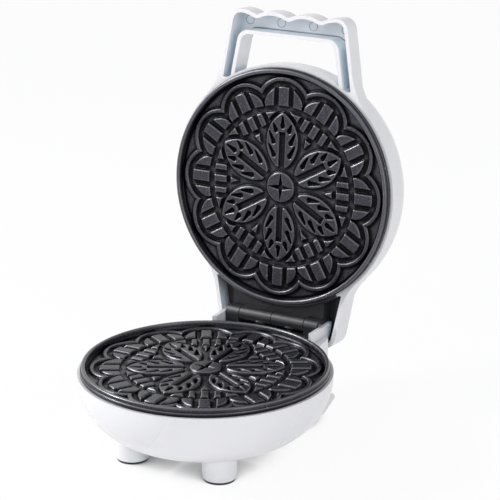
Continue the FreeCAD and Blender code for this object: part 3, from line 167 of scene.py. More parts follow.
def blended(tree, share, first, second):
    """Mixes two colours or colour outputs by a share."""
    item = tree.nodes.new("ShaderNodeMix")
    item.data_type = "RGBA"
    tree.links.new(share, item.inputs["Factor"])
    for socket, value in zip((item.inputs["A"], item.inputs["B"]), (first, second)):
        if isinstance(value, tuple):
            socket.default_value = (*value, 1.0)
        else:
            tree.links.new(value, socket)
    return item.outputs["Result"]


# White mouldings: their tones, and within what reach of a wall painted shade greys a corner or cools a recess
WHITE_MEAN = (0.79, 0.79, 0.805)
WHITE_MEAN_ROUGHNESS = 0.27
WHITE_TONES = ((0.780, 0.779, 0.796), (0.800, 0.799, 0.814))
WHITE_ROUGHNESS = (0.25, 0.29)
WHITE_DRIFT = (9.0, 0.0)
# Painted shade: a grey tone near walls in corners, and a cool darker tone deep in recesses
CORNER_PAINTED_SHADE = (0.52, 0.52, 0.54)
CORNER_SHADE_REACH = 4.0 * MM
CORNER_SHADE_SPAN = (0.30, 0.85)
RECESS_PAINTED_SHADE = (0.70, 0.78, 0.85)
RECESS_SHADE_REACH = 14.0 * MM
RECESS_SHADE_SPAN = (0.22, 0.52)


def gloss_white(name):
    """White moulding: a slow drift of tone and gloss, with painted shade that greys its corners and makes its
    recesses cooler and darker.
    """
    item, tree, shader = material(name, WHITE_MEAN, WHITE_MEAN_ROUGHNESS)
    drift = noise(tree, *WHITE_DRIFT)
    tone = toned(tree, drift, WHITE_TONES, UNIT)
    # Painted shade: corners turn grey, and recesses turn cool and darker, as nearby walls close in
    corner_unshaded_share = ranged(tree, openness(tree, CORNER_SHADE_REACH), CORNER_SHADE_SPAN)
    corner_shaded_tone = blended(tree, corner_unshaded_share, CORNER_PAINTED_SHADE, tone)
    unshaded_share = ranged(tree, openness(tree, RECESS_SHADE_REACH), RECESS_SHADE_SPAN)
    tree.links.new(blended(tree, unshaded_share, RECESS_PAINTED_SHADE, corner_shaded_tone), shader.inputs["Base Color"])
    tree.links.new(ranged(tree, drift, UNIT, WHITE_ROUGHNESS), shader.inputs["Roughness"])
    return item


# Plain plastic, rubber and ceramic: scale and detail of their clouding and gloss
CLOUDING = (45.0, 4.0)
UNEVEN_GLOSS = (120.0, 5.0)
GRAIN_DETAIL = 2.0
PLAIN_SHEEN = 0.5


def moulded(name, tones, roughness, grain, relief, sheen=PLAIN_SHEEN):
    """Moulded plastic or rubber: faint clouding, uneven gloss and a grain."""
    item, tree, shader = material(name, tones[1], roughness[0])
    shader.inputs["Specular IOR Level"].default_value = sheen
    tree.links.new(toned(tree, noise(tree, *CLOUDING), tones), shader.inputs["Base Color"])
    gloss = noise(tree, *UNEVEN_GLOSS)
    tree.links.new(ranged(tree, gloss, NOISE_SPAN, roughness), shader.inputs["Roughness"])
    bumped(tree, shader, noise(tree, grain, GRAIN_DETAIL), relief)
    return item


# Non-stick coating: flecks, edges paled partly by wear and partly by painted highlight, and grooves blackened by
# painted shade
COATING_MEAN = (0.02, 0.02, 0.023)
COATING_MEAN_ROUGHNESS = 0.30
COATING_TINT = (0.90, 0.90, 1.0)
# Specular level: low in the grooves, as painted shade, and higher on the open face
COATING_SHEEN = (0.03, 0.48)
COATING_ROUGHNESS = (0.25, 0.35)
COATING_GLOSS = (320.0, 4.0)
FLECK_SCALE = 1000.0
FLECK_SPAN = (0.10, 0.38)
FLECK_TONES = ((0.090, 0.090, 0.100), (0.014, 0.014, 0.019))
WEAR_AND_HIGHLIGHT_SPAN = (0.512, 0.55)
WEAR_AND_HIGHLIGHT_TONE = (0.115, 0.113, 0.128)
WEAR_AND_HIGHLIGHT_SHEEN = 0.45
RUBBED_SMOOTHING = -0.12
# Painted shade: the near-black tone of the grooves
GROOVE_PAINTED_SHADE = (0.001, 0.001, 0.0015)
GROOVE_SHADE_REACH = 2.4 * MM
GROOVE_SHADE_SPAN = (0.86, 0.99)
PEBBLES = (1300.0, 3.0)
PEBBLE_RELIEF = 0.35


def coated(name):
    """Non-stick coating: fine flecks and a pebbled sheen, paler on its edges from wear and painted highlight, and
    black in its grooves from painted shade.
    """
    item, tree, shader = material(name, COATING_MEAN, COATING_MEAN_ROUGHNESS)
    flecks = tree.nodes.new("ShaderNodeTexVoronoi")
    flecks.inputs["Scale"].default_value = FLECK_SCALE
    tree.links.new(placed(tree), flecks.inputs["Vector"])
    tone = toned(tree, flecks.outputs["Distance"], FLECK_TONES, FLECK_SPAN)
    bend = tree.nodes.new("ShaderNodeNewGeometry").outputs["Pointiness"]
    # Pale edges: partly wear, partly a painted highlight that stands in for glints along the edges
    wear_and_highlight_share = ranged(tree, bend, WEAR_AND_HIGHLIGHT_SPAN)
    wear_and_highlight_tone = blended(tree, wear_and_highlight_share, tone, WEAR_AND_HIGHLIGHT_TONE)
    # Painted shade: grooves turn black and lose their reflection within reach of their walls
    unshaded_share = ranged(tree, openness(tree, GROOVE_SHADE_REACH), GROOVE_SHADE_SPAN)
    tree.links.new(blended(tree, unshaded_share, GROOVE_PAINTED_SHADE, wear_and_highlight_tone), shader.inputs["Base Color"])
    shader.inputs["Specular Tint"].default_value = (*COATING_TINT, 1.0)
    sheen = ranged(tree, unshaded_share, UNIT, COATING_SHEEN)
    tree.links.new(shifted(tree, sheen, wear_and_highlight_share, WEAR_AND_HIGHLIGHT_SHEEN), shader.inputs["Specular IOR Level"])
    gloss = ranged(tree, noise(tree, *COATING_GLOSS), NOISE_SPAN, COATING_ROUGHNESS)
    tree.links.new(shifted(tree, gloss, wear_and_highlight_share, RUBBED_SMOOTHING), shader.inputs["Roughness"])
    bumped(tree, shader, noise(tree, *PEBBLES), PEBBLE_RELIEF)
    return item


# Drawn and rolled metal
METAL_LINES = (300.0, 5.0, 0.6)
METAL_RELIEF = 0.1


def metal(name, tones, roughness, stretch):
    """Drawn or rolled metal with fine lines along one direction."""
    item, tree, shader = material(name, tones[1], roughness[0], 1.0)
    spread = tree.nodes.new("ShaderNodeMapping")
    spread.inputs["Scale"].default_value = stretch
    tree.links.new(placed(tree), spread.inputs["Vector"])
    lines = noise(tree, *METAL_LINES, spread.outputs["Vector"])
    tree.links.new(toned(tree, lines, tones), shader.inputs["Base Color"])
    tree.links.new(ranged(tree, lines, NOISE_SPAN, roughness), shader.inputs["Roughness"])
    bumped(tree, shader, lines, METAL_RELIEF)
    return item


# Clear plastic and glass
CLEAR_ROUGHNESS = 0.08
CLEAR_IOR = 1.49
CLEAR_DEPTH = (400.0, 2.0)


def clear(name, tones, share):
    """Coloured translucent plastic or glass."""
    item, tree, shader = material(name, tones[1], CLEAR_ROUGHNESS)
    tree.links.new(toned(tree, noise(tree, *CLEAR_DEPTH), tones), shader.inputs["Base Color"])
    shader.inputs["Transmission Weight"].default_value = share
    shader.inputs["IOR"].default_value = CLEAR_IOR
    return item


# Finishes
WHITE = gloss_white("white_plastic")
BLACK = moulded(
    "black_plastic",
    tones=((0.018, 0.018, 0.022), (0.027, 0.027, 0.033)),
    roughness=(0.26, 0.38),
    grain=1500.0,
    relief=0.08,
    sheen=0.42,
)
RUBBER = moulded(
    "black_rubber",
    tones=((0.012, 0.012, 0.013), (0.022, 0.022, 0.024)),
    roughness=(0.62, 0.80),
    grain=1200.0,
    relief=0.25,
)
PHENOLIC = moulded(
    "phenolic",
    tones=((0.06, 0.03, 0.018), (0.12, 0.07, 0.04)),
    roughness=(0.45, 0.60),
    grain=900.0,
    relief=0.15,
)
STEATITE = moulded(
    "steatite",
    tones=((0.72, 0.68, 0.58), (0.82, 0.79, 0.70)),
    roughness=(0.55, 0.70),
    grain=1100.0,
    relief=0.20,
)
COATING = coated("coated_aluminium")
# Painted shade: the dark grey of the seam and rings stands for the shade in the real moulding lines
PAINTED_LINE_SHADE = moulded(
    "moulding_line_shade",
    tones=((0.20, 0.23, 0.26), (0.27, 0.30, 0.33)),
    roughness=(0.40, 0.55),
    grain=900.0,
    relief=0.1,
)
STEEL = metal(
    "steel",
    tones=((0.42, 0.42, 0.43), (0.62, 0.62, 0.63)),
    roughness=(0.25, 0.42),
    stretch=(1.0, 1.0, 6.0),
)
SHEATH = metal(
    "element_sheath",
    tones=((0.16, 0.15, 0.14), (0.30, 0.28, 0.26)),
    roughness=(0.40, 0.58),
    stretch=(1.0, 1.0, 1.0),
)
SHEET = metal(
    "bright_sheet",
    tones=((0.60, 0.60, 0.61), (0.74, 0.74, 0.75)),
    roughness=(0.20, 0.34),
    stretch=(6.0, 1.0, 1.0),
)
LENS = clear("red_lens", tones=((0.42, 0.02, 0.015), (0.60, 0.04, 0.03)), share=0.6)
GLASS = clear("lamp_glass", tones=((0.86, 0.74, 0.58), (0.95, 0.84, 0.68)), share=0.85)

FINISH = {
    "white_plastic": WHITE,
    "black_plastic": BLACK,
    "black_rubber": RUBBER,
    "phenolic": PHENOLIC,
    "steatite": STEATITE,
    "coated_aluminium": COATING,
    "steel": STEEL,
    "element_sheath": SHEATH,
    "bright_sheet": SHEET,
    "red_lens": LENS,
    "lamp_glass": GLASS,
}
SLOT_OF = {item["node"]: item["material_slot"] for item in frame["record"]["subparts"]}
for name, node in NODES.items():
    node.data.materials.clear()
    node.data.materials.append(FINISH[SLOT_OF[name]])
    for face in node.data.polygons:
        face.material_index = 0


# Edges of the moulded nodes
WELD_DISTANCE = 0.000002
EDGE_ANGLE = 35.0
EDGE_STEPS = 3
EDGE_WIDTH = {
    "base_housing": 0.5 * MM,
    "lid_housing": 0.5 * MM,
    "lid_hinge_liner": 0.4 * MM,
    "base_hinge_block": 0.3 * MM,
    "cord_gland": 0.6 * MM,
    "lid_centre_cap": 0.4 * MM,
    "indicator_lens": 0.4 * MM,
}


def soften(name, width):
    node = NODES[name]
    for face in node.data.polygons:
        face.use_smooth = True
    weld = node.modifiers.new("weld", "WELD")
    weld.merge_threshold = WELD_DISTANCE
    bevel = node.modifiers.new("wear_and_highlight_share", "BEVEL")
    bevel.width = width
    bevel.segments = EDGE_STEPS
    bevel.limit_method = "ANGLE"
    bevel.angle_limit = math.radians(EDGE_ANGLE)
    bevel.use_clamp_overlap = True
    normals = node.modifiers.new("normals", "WEIGHTED_NORMAL")
    normals.keep_sharp = False


for name, width in EDGE_WIDTH.items():
    soften(name, width)


# Rosette of the cooking plates: sizes in millimetres, from the middle of the plate
LOBES = 12
PETALS = 6
# Scalloped rib: radius of its outer edge at the cusps and at the peaks, and its width
CUSP = 58.6
PEAK = 64.8
RIB = 2.3
# Blocks in the lobes: the grooves round them, between two lobes and across a lobe
LOBE_GROOVE = 3.2
LOBE_GAP = 0.6
BAR = (3.25, 6.35)
# Round groove inside the lobes, and the hub
RING = (44.4, 48.0)
HUB = 8.9
# Fans between the petals: the grooves that divide them, their inner edge and the arrow in front of each
FAN_LINES = ((2.1, 5.2), (8.6, 11.6))
FAN_INSIDE = 36.2
ARROW = (28.2, 33.4, 1.9)
# Petals: points of their outline, the groove round them and the stem cut into them
PETAL_ROOT = (12.0, 3.4)
PETAL_WIDE = (26.0, 10.3)
PETAL_TIP = 44.2
PETAL_GROOVE = 2.6
STEM_HALF = 1.9
STEM_END = 32.4
# Seeds cut into a petal: distance along it and beside its axis, tilt in degrees, and length
SEEDS = (
    (38.3, 0.0, 0.0, 7.0),
    (34.8, 4.9, 23.0, 5.6),
    (29.0, 6.8, 25.0, 8.0),
    (21.3, 6.5, 29.0, 8.2),
)
SEED_NOSE = 0.35
SEED_HALF = 1.45
# Star in the hub: reach of its points and of its waist
STAR = (6.6, 1.7)
# Depths, and the section of a soft wall: distance inside its edge, and the share of the depth there
DEPTH = 1.8
SEED_DEPTH = 1.5
WALL_OUT = (-0.62, -0.48, -0.35, 0.0, 0.12, 0.52, 0.66, 0.8)
WALL_DROP = (1.0, 0.97, 0.88, 0.34, 0.23, 0.03, 0.005, 0.0)


def folded(x, y, count, first=0.0):
    """Turns each point into the sector of the nearest of several axes; the axis becomes x."""
    step = 2.0 * math.pi / count
    angle = np.arctan2(y, x) - math.radians(first)
    angle = angle - np.round(angle / step) * step
    radius = np.hypot(x, y)
    return radius * np.cos(angle), radius * np.sin(angle)


def drop(x, y, length, nose, bulge):
    """Distance inside a drop along x, whose small end is at minus half its length."""
    along = x + length / 2.0 - nose
    aside = np.abs(y)
    reach = length - nose - bulge
    lean = (nose - bulge) / reach
    across = math.sqrt(1.0 - lean * lean)
    turn = -lean * aside + across * along
    side = along * lean + aside * across - nose
    start = np.hypot(along, aside) - nose
    end = np.hypot(along - reach, aside) - bulge
    outside = np.where(turn < 0, start, np.where(turn > across * reach, end, side))
    return -outside


def circle_through(first, second, third):
    """Middle and radius of the circle through three points."""
    ax, ay = first
    bx, by = second
    cx, cy = third
    scale = 2.0 * (ax * (by - cy) + bx * (cy - ay) + cx * (ay - by))
    aa, bb, cc = (x ** 2 + y ** 2 for x, y in (first, second, third))
    x = (aa * (by - cy) + bb * (cy - ay) + cc * (ay - by)) / scale
    y = (aa * (cx - bx) + bb * (ax - cx) + cc * (bx - ax)) / scale
    return x, y, math.hypot(ax - x, ay - y)


def in_petal(x, y):
    middle_x, middle_y, radius = circle_through(PETAL_ROOT, PETAL_WIDE, (PETAL_TIP, 0.0))
    return np.minimum(radius - np.hypot(x - middle_x, np.abs(y) - middle_y), x - PETAL_ROOT[0])


def on_petal(x, y):
    """A point along and beside the axis of the nearest petal."""
    return folded(x, y, PETALS, 180.0 / PETALS)


def raised(x, y):
    """Distance inside the raised forms: the rib, the blocks, the fans, the arrows, the petals and the hub."""
    radius = np.hypot(x, y)
    lobe_x, lobe_y = folded(x, y, LOBES)
    half = math.pi / LOBES
    middle = (PEAK ** 2 - CUSP ** 2) / (2.0 * (PEAK - CUSP * math.cos(half)))
    in_lobe = PEAK - middle - np.hypot(lobe_x - middle, lobe_y)
    inside = np.maximum(in_lobe - RIB, middle * math.cos(half) - radius)
    rib = np.minimum(in_lobe, -inside)
    bars = np.maximum(BAR[0] - np.abs(lobe_y), np.abs(lobe_y) - BAR[1])
    gap = lobe_x * math.sin(half) - np.abs(lobe_y) * math.cos(half) - LOBE_GAP
    blocks = np.minimum(in_lobe - RIB - LOBE_GROOVE, radius - RING[1])
    blocks = np.minimum(blocks, np.minimum(bars, gap))
    fan_x, fan_y = folded(x, y, PETALS)
    petal_x, petal_y = on_petal(x, y)
    leaf = in_petal(petal_x, petal_y)
    fans = np.minimum(np.minimum(fan_x - FAN_INSIDE, RING[0] - radius), -leaf - PETAL_GROOVE)
    for near, far in FAN_LINES:
        fans = np.minimum(fans, np.maximum(near - np.abs(fan_y), np.abs(fan_y) - far))
    tip, base, wide = ARROW
    lean = math.atan2(wide, base - tip)
    arrow = np.minimum((fan_x - tip) * math.sin(lean) - np.abs(fan_y) * math.cos(lean), base - fan_x)
    leaves = np.minimum(leaf, np.maximum(np.abs(petal_y) - STEM_HALF, petal_x - STEM_END))
    return np.max([rib, blocks, fans, arrow, leaves, HUB - radius], axis=0)


def carved(x, y):
    """Distance inside the forms cut into the raised ones: the star in the hub and the seeds in the petals."""
    far = np.maximum(np.abs(x), np.abs(y))
    near = np.minimum(np.abs(x), np.abs(y))
    point, waist = STAR
    neck = waist * math.sqrt(0.5)
    forms = [(neck * (point - far) - (point - neck) * near) / math.hypot(point - neck, neck)]
    petal_x, petal_y = on_petal(x, y)
    for reach, aside, tilt, length in SEEDS:
        cosine = math.cos(math.radians(tilt))
        sine = math.sin(math.radians(tilt))
        along = petal_x - reach
        beside = np.abs(petal_y) - aside
        turned_x = -(along * cosine + beside * sine)
        turned_y = -along * sine + beside * cosine
        forms.append(drop(turned_x, turned_y, length, SEED_NOSE, SEED_HALF))
    return np.max(forms, axis=0)


def sunken(depth, inside):
    """Depth below the face next to a raised edge, from the distance inside that edge."""
    return depth * np.interp(inside, WALL_OUT, WALL_DROP)


def rosette(x, y):
    """Height of the cooking face over a point."""
    return -np.maximum(sunken(DEPTH, raised(x, y)), sunken(SEED_DEPTH, -carved(x, y)))


# Shapes from rows of points, in millimetres
def disc(steps, radius, height, profile):
    """A round piece about z: a face with a height over each point, and a profile down to its flat end."""
    line = np.linspace(-1.0, 1.0, steps + 1)
    share_x, share_y = np.meshgrid(line, line, indexing="ij")
    x = radius * share_x * np.sqrt(1.0 - share_y * share_y / 2.0)
    y = radius * share_y * np.sqrt(1.0 - share_x * share_x / 2.0)
    points = [np.stack([x, y, height(x, y)], -1).reshape(-1, 3)]
    row = steps + 1
    index = np.arange(row * row).reshape(row, row)
    corners = [index[:-1, :-1], index[1:, :-1], index[1:, 1:], index[:-1, 1:]]
    quads = [np.stack(corners, -1).reshape(-1, 4)]
    inner = np.concatenate([index[:-1, 0], index[-1, :-1], index[:0:-1, -1], index[0, :0:-1]])
    edge = points[0][inner][:, :2]
    edge = edge / np.linalg.norm(edge, axis=1)[:, None]
    count = len(inner)
    first = len(points[0])
    for reach, level in profile:
        points.append(np.column_stack([edge * reach, np.full(count, level)]))
        outer = np.arange(first, first + count)
        quads.append(np.stack([inner, outer, np.roll(outer, -1), np.roll(inner, -1)], -1))
        inner = outer
        first += count
    return np.concatenate(points), np.concatenate(quads).tolist() + [inner[::-1].tolist()]


def strip(sections, closed=False):
    """A long piece through sections that all have the same corners."""
    count, corners = sections.shape[:2]
    index = np.arange(count * corners).reshape(count, corners)
    here, ahead = (index, np.roll(index, -1, axis=0)) if closed else (index[:-1], index[1:])
    loops = [here, np.roll(here, -1, axis=1), np.roll(ahead, -1, axis=1), ahead]
    quads = np.stack(loops, -1).reshape(-1, 4)
    ends = [] if closed else [index[0][::-1].tolist(), index[-1].tolist()]
    return sections.reshape(-1, 3), quads.tolist() + ends


def joined(name, shapes, finish):
    """One mesh in metres from several shapes, smooth except on flat ends."""
    points = np.concatenate([corners for corners, loops in shapes])
    faces = []
    first = 0
    for corners, loops in shapes:
        faces += [[first + corner for corner in loop] for loop in loops]
        first += len(corners)
    mesh = bpy.data.meshes.new(name)
    mesh.from_pydata((points * MM).tolist(), [], faces)
    mesh.validate()
    shape = bmesh.new()
    shape.from_mesh(mesh)
    bmesh.ops.recalc_face_normals(shape, faces=shape.faces[:])
    shape.to_mesh(mesh)
    shape.free()
    for face in mesh.polygons:
        face.use_smooth = len(face.vertices) == 4
    mesh.materials.append(finish)
    return mesh


def add(name, mesh, body, place, replaced=()):
    item = bpy.data.objects.new(name, mesh)
    bpy.context.collection.objects.link(item)
    item.matrix_world = place
    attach(item, body)
    if replaced:
        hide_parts(*replaced)


# Cooking plates
PLATE_STEPS = 440
FACE_RADIUS = 66.8
FACE_HEIGHT = 2.2
PLATE_PROFILE = (
    (66.92, 2.35), (67.05, 3.9), (67.2, 4.3), (67.6, 4.58), (68.2, 4.6),
    (68.8, 4.58), (69.15, 4.35), (69.3, 3.9), (69.32, 2.75), (69.45, 2.45),
    (69.75, 2.35), (69.95, 2.1), (70.0, 1.7), (70.0, 0.35), (69.9, 0.08),
    (69.6, 0.0), (66.2, 0.0), (66.15, -0.2), (66.15, -3.6), (66.0, -3.7),
)
RIM_HEIGHT = 4.6 * MM
PLATE_GAP = 0.5 * MM
PLATE_AXIS = (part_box("lower_plate")[0].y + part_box("lower_plate")[1].y) / 2.0
LOWER_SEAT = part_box("lower_plate")[1].z - RIM_HEIGHT
UPPER_SEAT = LOWER_SEAT + 2.0 * RIM_HEIGHT + PLATE_GAP
ON_BASE = Matrix.Translation((0.0, PLATE_AXIS, LOWER_SEAT))
ON_LID = LID_OPEN @ Matrix.Translation((0.0, PLATE_AXIS, UPPER_SEAT))


def cooking_face(x, y):
    return FACE_HEIGHT + rosette(x, y)


PLATE = joined("plate", [disc(PLATE_STEPS, FACE_RADIUS, cooking_face, PLATE_PROFILE)], COATING)
add("lower_plate_relief", PLATE, "base", ON_BASE, ["lower_plate"])
add("upper_plate_relief", PLATE, "lid", ON_LID @ UPSIDE_DOWN, ["upper_plate"])


# Black lip of the lid's panel, round the rear of the lid's edge
LIP_HALF_ANGLE = 33.0
LIP_STEPS = 65
LIP_SECTION = (
    (70.12, 0.1), (70.12, -0.4), (70.3, -0.55), (71.8, -0.55),
    (72.0, -0.35), (72.0, 9.0), (71.65, 9.0), (71.65, 0.1),
)


def lip_section(turn):
    return [(reach * math.sin(turn), reach * math.cos(turn), level) for reach, level in LIP_SECTION]


lip_turns = np.radians(np.linspace(-LIP_HALF_ANGLE, LIP_HALF_ANGLE, LIP_STEPS))
LIP = strip(np.array([lip_section(turn) for turn in lip_turns]))
add("lid_panel_lip", joined("lid_panel_lip", [LIP], BLACK), "lid", ON_LID)


# Moulding lines in the hollow of the handle: a seam along the finger opening and a ring behind each rest, as thin
# strips whose dark grey is painted shade
CHANNEL_FLOOR = 11.8
OPENING_ROOT = (34.0, 64.0)
OPENING_FRONT = (29.8, 86.9)
OPENING_CORNER = 5.0
OPENING_WALL = 2.2
OPENING_CORNER_STEPS = 12
SEAM_LEG = 0.65
SEAM_SECTION = ((-0.1, 0.1), (SEAM_LEG, 0.1), (-0.1, -SEAM_LEG))
REST_COUNT = 4
REST_PITCH = 20.8
MARK_FORWARD = 93.5
MARK_RADIUS = 2.6
MARK_STEPS = 48
MARK_SECTION = ((-0.2, 0.1), (0.2, 0.1), (0.13, -0.12), (-0.13, -0.12))


def opening_edge():
    """Points and outward directions along the wall round the finger opening, from root to root."""
    root_x, root_y = OPENING_ROOT
    front_x, front_y = OPENING_FRONT
    lean = math.atan2(root_x - front_x, front_y - root_y)
    middle_y = front_y - OPENING_CORNER
    reach = root_x * math.cos(lean) + root_y * math.sin(lean) - OPENING_CORNER
    middle_x = (reach - middle_y * math.sin(lean)) / math.cos(lean)
    around = OPENING_CORNER + OPENING_WALL
    half = [(root_x + OPENING_WALL * math.cos(lean), root_y + OPENING_WALL * math.sin(lean), lean)]
    for turn in np.linspace(lean, math.pi / 2.0, OPENING_CORNER_STEPS):
        half.append((middle_x + around * math.cos(turn), middle_y + around * math.sin(turn), turn))
    return half + [(-x, y, math.pi - turn) for x, y, turn in reversed(half)]


def seam_section(x, y, turn):
    cosine = math.cos(turn)
    sine = math.sin(turn)
    return [(x + out * cosine, -y - out * sine, CHANNEL_FLOOR + level) for out, level in SEAM_SECTION]


def mark_section(across, turn):
    section = []
    for out, level in MARK_SECTION:
        reach = MARK_RADIUS + out
        x = across + reach * math.cos(turn)
        y = -MARK_FORWARD + reach * math.sin(turn)
        section.append((x, y, CHANNEL_FLOOR + level))
    return section


handle_lines = [strip(np.array([seam_section(x, y, turn) for x, y, turn in opening_edge()]))]
mark_turns = np.linspace(0.0, 2.0 * math.pi, MARK_STEPS, endpoint=False)
for number in range(REST_COUNT):
    across = (number - (REST_COUNT - 1) / 2.0) * REST_PITCH
    handle_lines.append(strip(np.array([mark_section(across, turn) for turn in mark_turns]), True))
HANDLE_LINES = joined("handle_moulding_lines", handle_lines, PAINTED_LINE_SHADE)
add("handle_moulding_lines", HANDLE_LINES, "lid", ON_LID)


# Screws with cross recesses
HEAD_RADIUS = 3.2
HEAD_HEIGHT = 2.2
HEAD_CROWN = 0.5
HEAD_STEPS = 36
HEAD_FACE = 2.9
HEAD_PROFILE = ((3.08, 1.62), (3.17, 1.42), (3.2, 1.15), (3.2, 0.08), (3.12, 0.0))
CROSS_LENGTH = 1.95
CROSS_HALF = 0.42
CROSS_DEPTH = 1.35
CROSS_TAPER = 0.4
CROSS_WALL = 0.22
SHANK_RADIUS = 1.6
THREAD_ROOT = 1.2
THREAD_PITCH = 1.1
THREAD_LENGTH = 8.0
THREAD_VALLEY = 0.35 * THREAD_PITCH
THREAD_CREST = 0.8 * THREAD_PITCH
POINT_LENGTH = 0.1
POINT_RADIUS = 0.6 * THREAD_ROOT


def walled(inside, wall):
    """1 inside an edge and 0 outside it, over the width of a steep wall."""
    return np.clip(inside / wall + 0.5, 0.0, 1.0)


def cross_head(x, y):
    """Height of a crowned head with a cross recess that is deepest in the middle."""
    far = np.maximum(np.abs(x), np.abs(y))
    near = np.minimum(np.abs(x), np.abs(y))
    inside = np.minimum(CROSS_LENGTH - far, CROSS_HALF - near)
    top = HEAD_HEIGHT - HEAD_CROWN * (np.hypot(x, y) / HEAD_RADIUS) ** 2
    return top - CROSS_DEPTH * (1.0 - CROSS_TAPER * far / CROSS_LENGTH) * walled(inside, CROSS_WALL)


def screw(length):
    """A pan-head screw whose head stands on z = 0, with its shank below."""
    threaded = min(THREAD_LENGTH, length - THREAD_PITCH)
    profile = list(HEAD_PROFILE) + [(SHANK_RADIUS, 0.0), (SHANK_RADIUS, threaded - length)]
    for turn in range(int(threaded / THREAD_PITCH)):
        level = threaded - length - turn * THREAD_PITCH
        profile += [(THREAD_ROOT, level - THREAD_VALLEY), (SHANK_RADIUS, level - THREAD_CREST)]
    profile += [(THREAD_ROOT, POINT_LENGTH - length), (POINT_RADIUS, -length)]
    return disc(HEAD_STEPS, HEAD_FACE, cross_head, profile)


def solids_of(name, place):
    """The box of each solid of a node, in millimetres, before the node is carried to its place."""
    shape = bmesh.new()
    shape.from_mesh(NODES[name].data)
    bmesh.ops.remove_doubles(shape, verts=shape.verts[:], dist=WELD_DISTANCE)
    left = set(shape.verts)
    boxes = []
    while left:
        group = [left.pop()]
        for vert in group:
            near = {edge.other_vert(vert) for edge in vert.link_edges} & left
            left -= near
            group += near
        corners = np.array([place.inverted() @ vert.co for vert in group]) / MM
        boxes.append((corners.min(axis=0).tolist(), corners.max(axis=0).tolist()))
    shape.free()
    return sorted(boxes)


def add_screws(name, body, place, head_down):
    """Screws in place of a node's plain ones."""
    shapes = []
    for low, high in solids_of(name, place):
        corners, faces = screw(high[2] - low[2] - HEAD_HEIGHT)
        if head_down:
            corners = corners * (1.0, -1.0, -1.0)
        seat = low[2] + HEAD_HEIGHT if head_down else high[2] - HEAD_HEIGHT
        shapes.append((corners + ((low[0] + high[0]) / 2.0, (low[1] + high[1]) / 2.0, seat), faces))
    add(name + "_crossed", joined(name, shapes, STEEL), body, place, [name])


add_screws("base_screws", "base", AS_BUILT, True)
add_screws("base_hinge_screws", "base", AS_BUILT, False)
add_screws("lid_liner_screws", "lid", LID_OPEN, True)


# Foot pads with grooved soles
PAD_STEPS = 64
PAD_FACE = 8.2
PAD_GROOVES = (3.0, 5.6)
PAD_GROOVE_HALF = 0.55
PAD_GROOVE_WALL = 0.2
PAD_GROOVE_DEPTH = 0.4
PAD_STEM = 3.9
PAD_PROFILE = (
    (8.55, -0.1), (8.74, -0.28), (8.8, -0.5), (8.8, -1.25), (8.7, -1.5),
    (PAD_STEM, -1.5), (PAD_STEM, -6.5),
)


def sole(x, y):
    radius = np.hypot(x, y)
    grooves = [walled(PAD_GROOVE_HALF - np.abs(radius - ring), PAD_GROOVE_WALL) for ring in PAD_GROOVES]
    return -PAD_GROOVE_DEPTH * np.max(grooves, axis=0)


PAD = joined("foot_pad", [disc(PAD_STEPS, PAD_FACE, sole, PAD_PROFILE)], RUBBER)
for name in [name for name in NODES if name.startswith("foot_pad")]:
    low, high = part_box(name)
    under_leg = Matrix.Translation(((low.x + high.x) / 2.0, (low.y + high.y) / 2.0, low.z))
    add(name + "_grooved", PAD, "base", under_leg @ UPSIDE_DOWN, [name])


# Floor: white to the camera, with a shadow close under the object
FLOOR_SPAN = 6.0
FLOOR_COLOR = (0.95, 0.95, 0.95)
FLOOR_SEEN_SHARE = 0.92
SHADOW_REACH = 20.0 * MM
SHADOW_SAMPLES = 48
SHADOW_TONES = (
    (0.0, (0.12, 0.12, 0.125)),
    (0.19, (0.26, 0.26, 0.27)),
    (0.34, (0.93, 0.93, 0.935)),
    (0.46, (1.0, 1.0, 1.0)),
)


def seen_rays(tree):
    """1 for the rays that show the background: straight from the camera, in a reflection or through glass."""
    path = tree.nodes.new("ShaderNodeLightPath")
    total = path.outputs["Is Camera Ray"]
    for kind in ("Is Glossy Ray", "Is Transmission Ray"):
        more = tree.nodes.new("ShaderNodeMath")
        more.operation = "MAXIMUM"
        tree.links.new(total, more.inputs[0])
        tree.links.new(path.outputs[kind], more.inputs[1])
        total = more.outputs["Value"]
    return total


def mixed(tree, share, first, second, out):
    """Two shaders mixed by a share, on the way to an output."""
    mix = tree.nodes.new("ShaderNodeMixShader")
    tree.links.new(share, mix.inputs["Fac"])
    tree.links.new(first, mix.inputs[1])
    tree.links.new(second, mix.inputs[2])
    tree.links.new(mix.outputs["Shader"], out.inputs["Surface"])


def floor_material(name):
    item = bpy.data.materials.new(name)
    item.use_nodes = True
    tree = item.node_tree
    tree.nodes.clear()
    out = tree.nodes.new("ShaderNodeOutputMaterial")
    lit = tree.nodes.new("ShaderNodeBsdfDiffuse")
    lit.inputs["Color"].default_value = (*FLOOR_COLOR, 1.0)
    glow = tree.nodes.new("ShaderNodeEmission")
    near = openness(tree, SHADOW_REACH, SHADOW_SAMPLES)
    tree.links.new(ramp(tree, near, SHADOW_TONES), glow.inputs["Color"])
    part = tree.nodes.new("ShaderNodeMath")
    part.operation = "MULTIPLY"
    part.inputs[1].default_value = FLOOR_SEEN_SHARE
    tree.links.new(seen_rays(tree), part.inputs[0])
    mixed(tree, part.outputs["Value"], lit.outputs["BSDF"], glow.outputs["Emission"], out)
    return item


